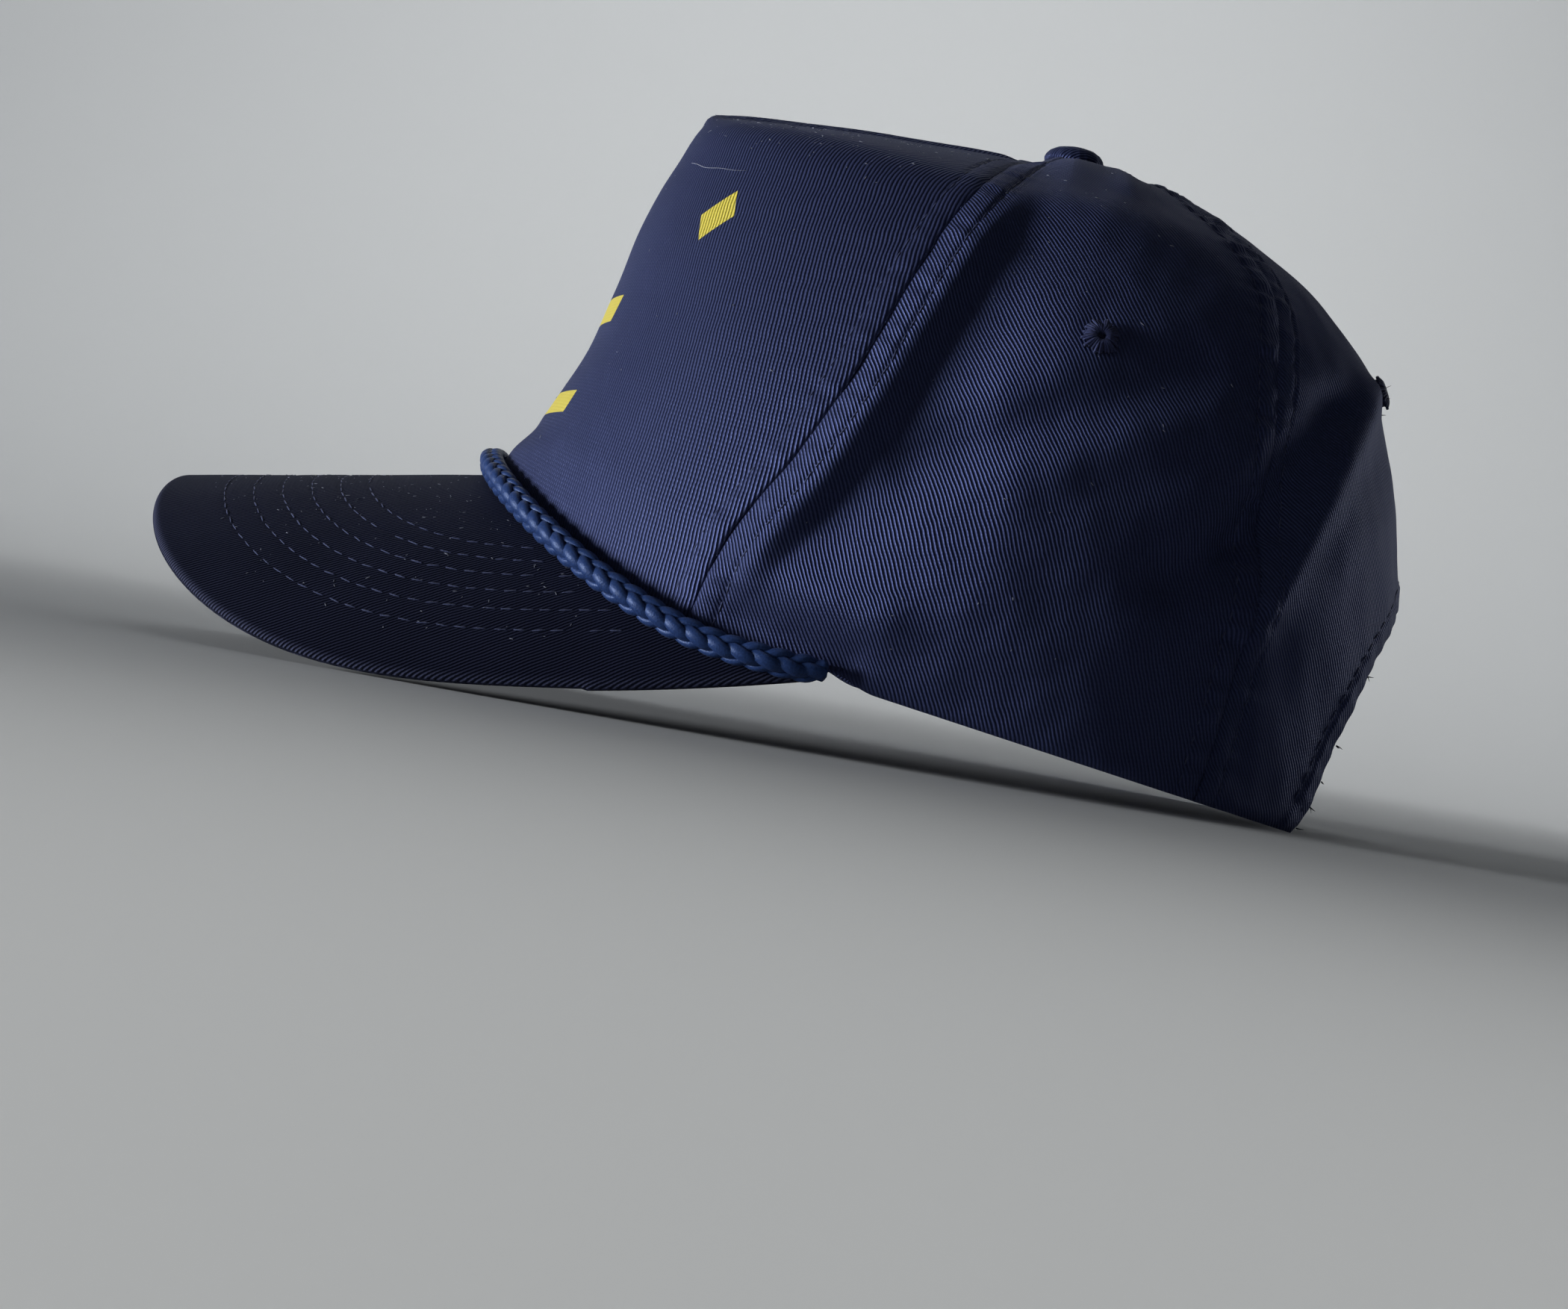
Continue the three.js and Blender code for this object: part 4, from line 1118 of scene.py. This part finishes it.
def rope_centre(angle):
    """Places on the rope's middle line, in the corner between crown and peak, and the way out of it."""
    turned = np.abs(angle)
    end = math.radians(ROPE["endAngle"])
    radius = ROPE["diameter"] / 2 + GAP
    rim = crown_point(angle, angle * 0)
    wall = crown_normal(angle, angle * 0)
    bend = np.arcsin(np.clip(rim[:, 0] / PEAK["bend"], -1, 1))
    board = unit(np.stack([np.sin(bend), -PEAK["slope"] * np.cos(bend), np.cos(bend)], -1))
    together = (wall * board).sum(-1, keepdims=True)
    away = unit(wall - board * together)
    reach = radius / (1 + together)
    out = ROPE["out"] * (1 - ease(math.radians(ROPE["tuckFrom"]), math.radians(ROPE["tuckTo"]), turned))
    sink = ROPE["drop"] * ease(end - math.radians(9), end, turned)
    centre = rim + (wall + board) * reach + away * out[:, None]
    return centre - board * sink[:, None], unit(away + board)


rope_angles = np.radians(ROPE["endAngle"]) * np.linspace(-1, 1, 700)
rope_line, rope_out = rope_centre(rope_angles)
rope_run = lengths_along(rope_line)
rope_heading = unit(np.gradient(rope_line, axis=0))
rope_out = unit(rope_out - rope_heading * (rope_out * rope_heading).sum(-1, keepdims=True))
rope_side = np.cross(rope_heading, rope_out)


def strand_centre(at, hand, phase):
    """Each family of strands runs on a flattened spiral: one across the rope's face, the other its sides."""
    turn = hand * 2 * math.pi * at / ROPE["pitch"] + phase
    narrow = 1 - 0.3 * (1 - ease(0, 5, np.minimum(at, rope_run[-1] - at)))
    out, side = (ROPE["over"], ROPE["under"]) if hand > 0 else (ROPE["under"], ROPE["over"])
    across = np.stack([out * np.cos(turn), side * np.sin(turn)], -1) * narrow[:, None]
    out_line, side_line = place_along(rope_out, rope_run, at), place_along(rope_side, rope_run, at)
    off = out_line * across[:, :1] + side_line * across[:, 1:]
    return place_along(rope_line, rope_run, at) + off, unit(off)


def rope_place(hand, phase):
    """One strand: an oval ribbon of three yarns, narrower where it dives under the others."""
    def place(s, t):
        at = t * rope_run[-1]
        centre, outwards = strand_centre(at, hand, phase)
        ahead, _ = strand_centre(at + 0.05, hand, phase)
        behind, _ = strand_centre(at - 0.05, hand, phase)
        heading = unit(ahead - behind)
        across = unit(np.cross(heading, outwards))
        lift = np.cross(across, heading)
        around = s * 2 * math.pi
        turn = hand * 2 * math.pi * at / ROPE["pitch"] + phase
        on_top = np.cos(turn) ** 2 if hand > 0 else np.sin(turn) ** 2
        yarns = (1 + 0.05 * np.abs(np.sin(around * 3))) * (1 - ROPE["neck"] * (1 - on_top) ** 1.5)
        wide = ROPE["wide"] * np.cos(around) * yarns
        thick = ROPE["thick"] * np.sin(around) * yarns
        points = centre + across * wide[:, None] + lift * thick[:, None]
        return points, np.stack([around * 1.1, at * 1.4], -1)

    return place


rope_blue = fibres("rope_blue", (0.030, 0.072, 0.24), (0.006, 0.015, 0.055), 0.45, sheen=0.02)
bm = bmesh.new()
for hand in (1, -1):
    for quarter in range(4):
        phase = quarter * math.pi / 2 + (math.pi / 4 if hand < 0 else 0)
        strand = sheet_of("strand", 12, int(rope_run[-1] / ROPE["pitch"] * 32), rope_place(hand, phase))
        bm.from_mesh(closed(strand).data)
        bpy.data.objects.remove(strand)
finished(object_of(bm, "rope_braid"), rope_blue, "rope_cord", "rope")


# Sweatband: a plain folded cotton band sewn round the inside of the rim, from one end of the strap to the
# other.
SWEATBAND = {"thickness": 1.2, "height": 28, "lift": 0.6, "ease": 0.3, "lean": 2.1, "endAngle": 139,
             "radius": 80}
CLOTH = 1.6
band_levels = np.linspace(0, 3, 61)


def sweatband_place(s, t):
    angle = np.radians(SWEATBAND["endAngle"]) * (2 * s - 1)
    heights = crown_point(angle[:, None], band_levels[None, :] + angle[:, None] * 0)[..., 2]
    want = heights[:, 0] + SWEATBAND["lift"] + t * SWEATBAND["height"]
    level = np.array([np.interp(w, h, band_levels) for w, h in zip(want, heights)])
    depth = CLOTH + GAP + SWEATBAND["ease"] + t * SWEATBAND["lean"]
    points = crown_point(angle, level)
    points = points - crown_normal(angle, level) * depth[:, None]
    lowest = peak_top(points[:, 0], points[:, 1]) + GAP
    low = np.where(points[:, 1] < RIM["blendFrom"] + RIM["blendLength"], lowest, -1)
    points[:, 2] = np.maximum(points[:, 2], low)
    return points, np.stack([angle * SWEATBAND["radius"], t * SWEATBAND["height"]], -1)


band_cotton = twill("sweatband_cotton", (0.02, 0.023, 0.05), (0.004, 0.005, 0.012), pitch=0.5, depth=0.08)
sweatband = sheet_of("sweatband_cloth", 220, 16, sweatband_place)
thickened(sweatband, SWEATBAND["thickness"])
finished(sweatband, band_cotton, "sweatband_cotton", "sweatband")


# Snap strap: two straps of soft dark plastic. The wearer's left one laps over the right one, whose six
# studs are pressed through its holes. Their other ends lie inside the back, under the sweatband's ends.
STRAP = {"rootAngle": 143, "footAngle": 151, "bottomZ": 2.2, "height": 18.5, "layer": 1.2, "easeIn": 1.2,
         "midY": 121.6, "topLean": 3, "lap": 28, "tip": 6, "tipNarrow": 0.648, "studs": 6,
         "studPitch": 9.2, "studRadius": 2.1, "proud": 0.7}
strap_levels = np.linspace(0, 3, 200)


def strap_edge(height):
    """Points along the strap at one height, from the wearer's left end to the right one."""
    ends = []
    for along in (0, 0.5, 1):
        angle = math.radians(STRAP["rootAngle"] + (STRAP["footAngle"] - STRAP["rootAngle"]) * along)
        climb = crown_point(angle, strap_levels)[:, 2]
        level = np.interp(height, climb - climb[0], strap_levels)
        ends.append(crown_point(angle, level, CLOTH + GAP + STRAP["layer"] + STRAP["easeIn"] * along))
    lean = STRAP["topLean"] * height / (STRAP["bottomZ"] + STRAP["height"])
    middle = np.array([0, STRAP["midY"] + lean, height])
    knots = np.array(ends + [middle] + [p * (-1, 1, 1) for p in ends[::-1]])
    run = np.concatenate([[0], np.cumsum(np.sqrt(np.linalg.norm(np.diff(knots, axis=0), axis=1)))])
    slopes = np.gradient(knots, run, axis=0)
    fine = np.linspace(0, run[-1], 300)
    i = np.clip(np.searchsorted(run, fine, side="right") - 1, 0, len(run) - 2)
    gap = (run[i + 1] - run[i])[:, None]
    f = ((fine - run[i])[:, None]) / gap
    ahead = f * f * (3 - 2 * f)
    bent = (f ** 3 - 2 * f ** 2 + f) * gap * slopes[i] + (f ** 3 - f ** 2) * gap * slopes[i + 1]
    return knots[i] * (1 - ahead) + knots[i + 1] * ahead + bent


strap_bottom = strap_edge(STRAP["bottomZ"])
strap_top = strap_edge(STRAP["bottomZ"] + STRAP["height"])
strap_middle = (strap_bottom + strap_top) / 2
strap_run = lengths_along(strap_middle)
strap_out = unit(np.cross(np.gradient(strap_bottom, axis=0), (0, 0, 1.0)))


def strap_place(tip_from, tip_to, offset):
    """One strap from its sewn end to its tip, whose corners are rounded."""
    def place(s, t):
        at = tip_from + (tip_to - tip_from) * s
        corner = np.clip((STRAP["tip"] - np.abs(at - tip_to)) / STRAP["tip"], 0, 1)
        tall = 0.5 * (1 - STRAP["tipNarrow"] * (1 - np.sqrt(1 - corner ** 2)))
        high = 0.5 + (2 * t - 1) * tall
        low, top, out = (place_along(line, strap_run, at) for line in (strap_bottom, strap_top, strap_out))
        points = low * (1 - high[:, None]) + top * high[:, None] + out * offset
        return points, np.stack([at, high * STRAP["height"]], -1)

    return place


strap_plastic, new, plastic = fresh_material("strap_plastic")
grain = noise(new, new("ShaderNodeTexCoord").outputs["Object"], 900.0, 3.0)
dimples = new("ShaderNodeBump", {"Height": grain, "Distance": 0.05 * mm})
shades = mixed(new, grain, (0.006, 0.008, 0.015), (0.012, 0.015, 0.028))
feed(plastic, {"Base Color": shades, "Normal": dimples.outputs[0], "Roughness": 0.38})
lap_start = np.interp(-STRAP["lap"], -strap_middle[:, 0], strap_run)
lap_end = np.interp(STRAP["lap"], -strap_middle[:, 0], strap_run)
for name, start, stop, offset in (("strap_left", 0.0, lap_end, STRAP["layer"]),
                                  ("strap_right", strap_run[-1], lap_start, -0.04)):
    strap = sheet_of(name, 120, 12, strap_place(start, stop, offset))
    thickened(strap, STRAP["layer"] - 0.06, -1 if start < stop else 1)
    rounded = strap.modifiers.new("rounded", "BEVEL")
    rounded.width = 0.3 * mm
    rounded.segments = 2
    rounded.limit_method = "ANGLE"
    finished(strap, strap_plastic, "strap_plastic", *(["snap_strap"] if start < stop else []))
bm = bmesh.new()
for number in range(STRAP["studs"]):
    across = (number - (STRAP["studs"] - 1) / 2) * STRAP["studPitch"]
    at = np.interp(-across, -strap_middle[:, 0], strap_run)
    centre, out = (Vector(place_along(values, strap_run, at)) for values in (strap_middle, strap_out))
    turn = out.to_track_quat("Z", "Y").to_matrix().to_4x4()
    for radius, low, high in ((STRAP["studRadius"] + 0.6, STRAP["layer"] - 0.2, STRAP["layer"] + 0.2),
                              (STRAP["studRadius"], -STRAP["layer"], STRAP["layer"] + STRAP["proud"])):
        peg = bmesh.ops.create_cone(bm, cap_ends=True, segments=28, radius1=radius, radius2=radius,
                                    depth=high - low)["verts"]
        edges = [e for e in bm.edges if e.verts[0] in peg and abs(e.verts[0].co.z - e.verts[1].co.z) < 0.01]
        bent = bmesh.ops.bevel(bm, geom=edges, offset=0.18, offset_type="OFFSET", segments=3, profile=0.5,
                               affect="EDGES", material=-1)
        verts = {v for face in bent["faces"] for v in face.verts} | {v for v in peg if v.is_valid}
        move = Matrix.Translation(centre + out * ((low + high) / 2) + Vector(shift)) @ turn
        bmesh.ops.transform(bm, verts=list(verts), matrix=Matrix.Scale(mm, 4) @ move)
finished(object_of(bm, "strap_studs", smooth=False), strap_plastic, "strap_plastic")


# Lint and loose ends: pale fluff caught in the twill, one pale hair, and dark threads frayed out of the
# arch's hem and of the eyelets at the back.
lint_fluff = fibres("lint_fluff", (0.46, 0.48, 0.56), (0.2, 0.21, 0.27), 0.9)
dark_thread = fibres("dark_thread", (0.012, 0.014, 0.03), (0.004, 0.005, 0.01), 0.8)
# How many bits of fluff lie between which angles and levels. Most are on the front's top and the peak.
LINT = ((260, (-58, 58), (5.4, 8.2), front_relief), (50, (-60, 60), (0.4, 5), front_relief),
        (60, (70, 130), (0.4, 8), side_relief), (45, (-130, -70), (0.4, 8), side_relief))
PEAK_LINT = 520
random = np.random.default_rng(77)
spots = []
for count, turn_range, level_range, relief in LINT:
    angle = np.radians(random.uniform(*turn_range, count))
    level = random.uniform(*level_range, count)
    spots.extend(zip(*on_cloth(angle, level, relief, 0.1)))
for _ in range(PEAK_LINT):
    x = random.uniform(-74, 74)
    y = PEAK["rootY"] - 3 - random.uniform(0, 88)
    if row_distance(np.array([x]), np.array([y]), 0)[0] < 4:
        slant = x / PEAK["bend"]
        spots.append((board_point(x, y, -0.05), np.array([slant, -ROWS["lean"], math.sqrt(1 - slant ** 2)])))
lint = []
for point, normal in spots:
    up = Vector(normal).normalized()
    along = up.orthogonal().normalized()
    along.rotate(Matrix.Rotation(random.uniform(*ANY_PHASE), 3, up))
    frame_of = Matrix((up.cross(along), along, up)).transposed().to_4x4()
    thin = random.uniform(0.09, 0.17)
    size = Matrix.Diagonal((thin, thin * random.uniform(1.2, 7), thin, 1))
    lint.append(Matrix.Translation(Vector(point + shift)) @ frame_of @ size)
beads("lint", lint, lint_fluff, "crown_twill")


def wisps(name, paths, radius, material):
    """Loose threads: thin tubes that taper to their ends, in one mesh."""
    bm = bmesh.new()
    for path in paths:
        run = np.linspace(0, 1, len(path))

        def place(s, t, path=path, run=run):
            thick = radius * (1 - 0.75 * t ** 2)
            around = s * 2 * math.pi
            ring = np.stack([np.cos(around), 0.5 * np.sin(around), np.sin(around)], -1)
            return place_along(path, run, t) + ring * thick[:, None], np.stack([s, t], -1)

        tube = sheet_of("tube", 5, 12, place)
        bm.from_mesh(tube.data)
        bpy.data.objects.remove(tube)
    return finished(closed(object_of(bm, name)), material, "crown_twill")


hair_turn = np.linspace(0, 1, 25)
hair_level = 5.0 - 0.05 * np.sin(hair_turn * 3.6) + 0.012 * np.sin(hair_turn * 13)
hair_line, _ = on_cloth(np.radians(17 + 16 * hair_turn), hair_level, front_relief, 0.12)
wisps("pale_hair", [hair_line], 0.07, lint_fluff)
# Threads loose at the arch's edge: at which of its points, how many and about how long.
FRAYS = ((1, 5, 2.0), (6, 3, 1.6), (13, 2, 0.8), (24, 3, 1.1), (50, 2, 0.8))
along = np.linspace(0, 1, 25)[:, None]
frays = []
for place, count, reach in FRAYS:
    for side in (1, -1):
        for _ in range(count):
            start = arch_edge[place] * (side, 1, 1)
            aim = unit(np.array([side * 0.2, random.uniform(0.4, 1.2), random.uniform(-1.0, 0.15)]))
            sag = random.normal(0, 0.3, 3) * along ** 2
            fray = start + (0, 0, 0.3) + aim * along * reach * random.uniform(0.6, 1.15) + sag
            fray[:, 2] = np.maximum(fray[:, 2], 0.2)
            frays.append(fray)
for name in ("eyelet_back_left", "eyelet_back_right"):
    spot, normal = eyelet_spots[name]
    for _ in range(9):
        aim = unit(normal + random.normal(0, 0.5, 3))
        start = spot + random.normal(0, 1.6, 3) * (1, 0.3, 1)
        frays.append(start + aim * along * random.uniform(0.8, 2.4))
wisps("frayed_threads", frays, 0.13, dark_thread)
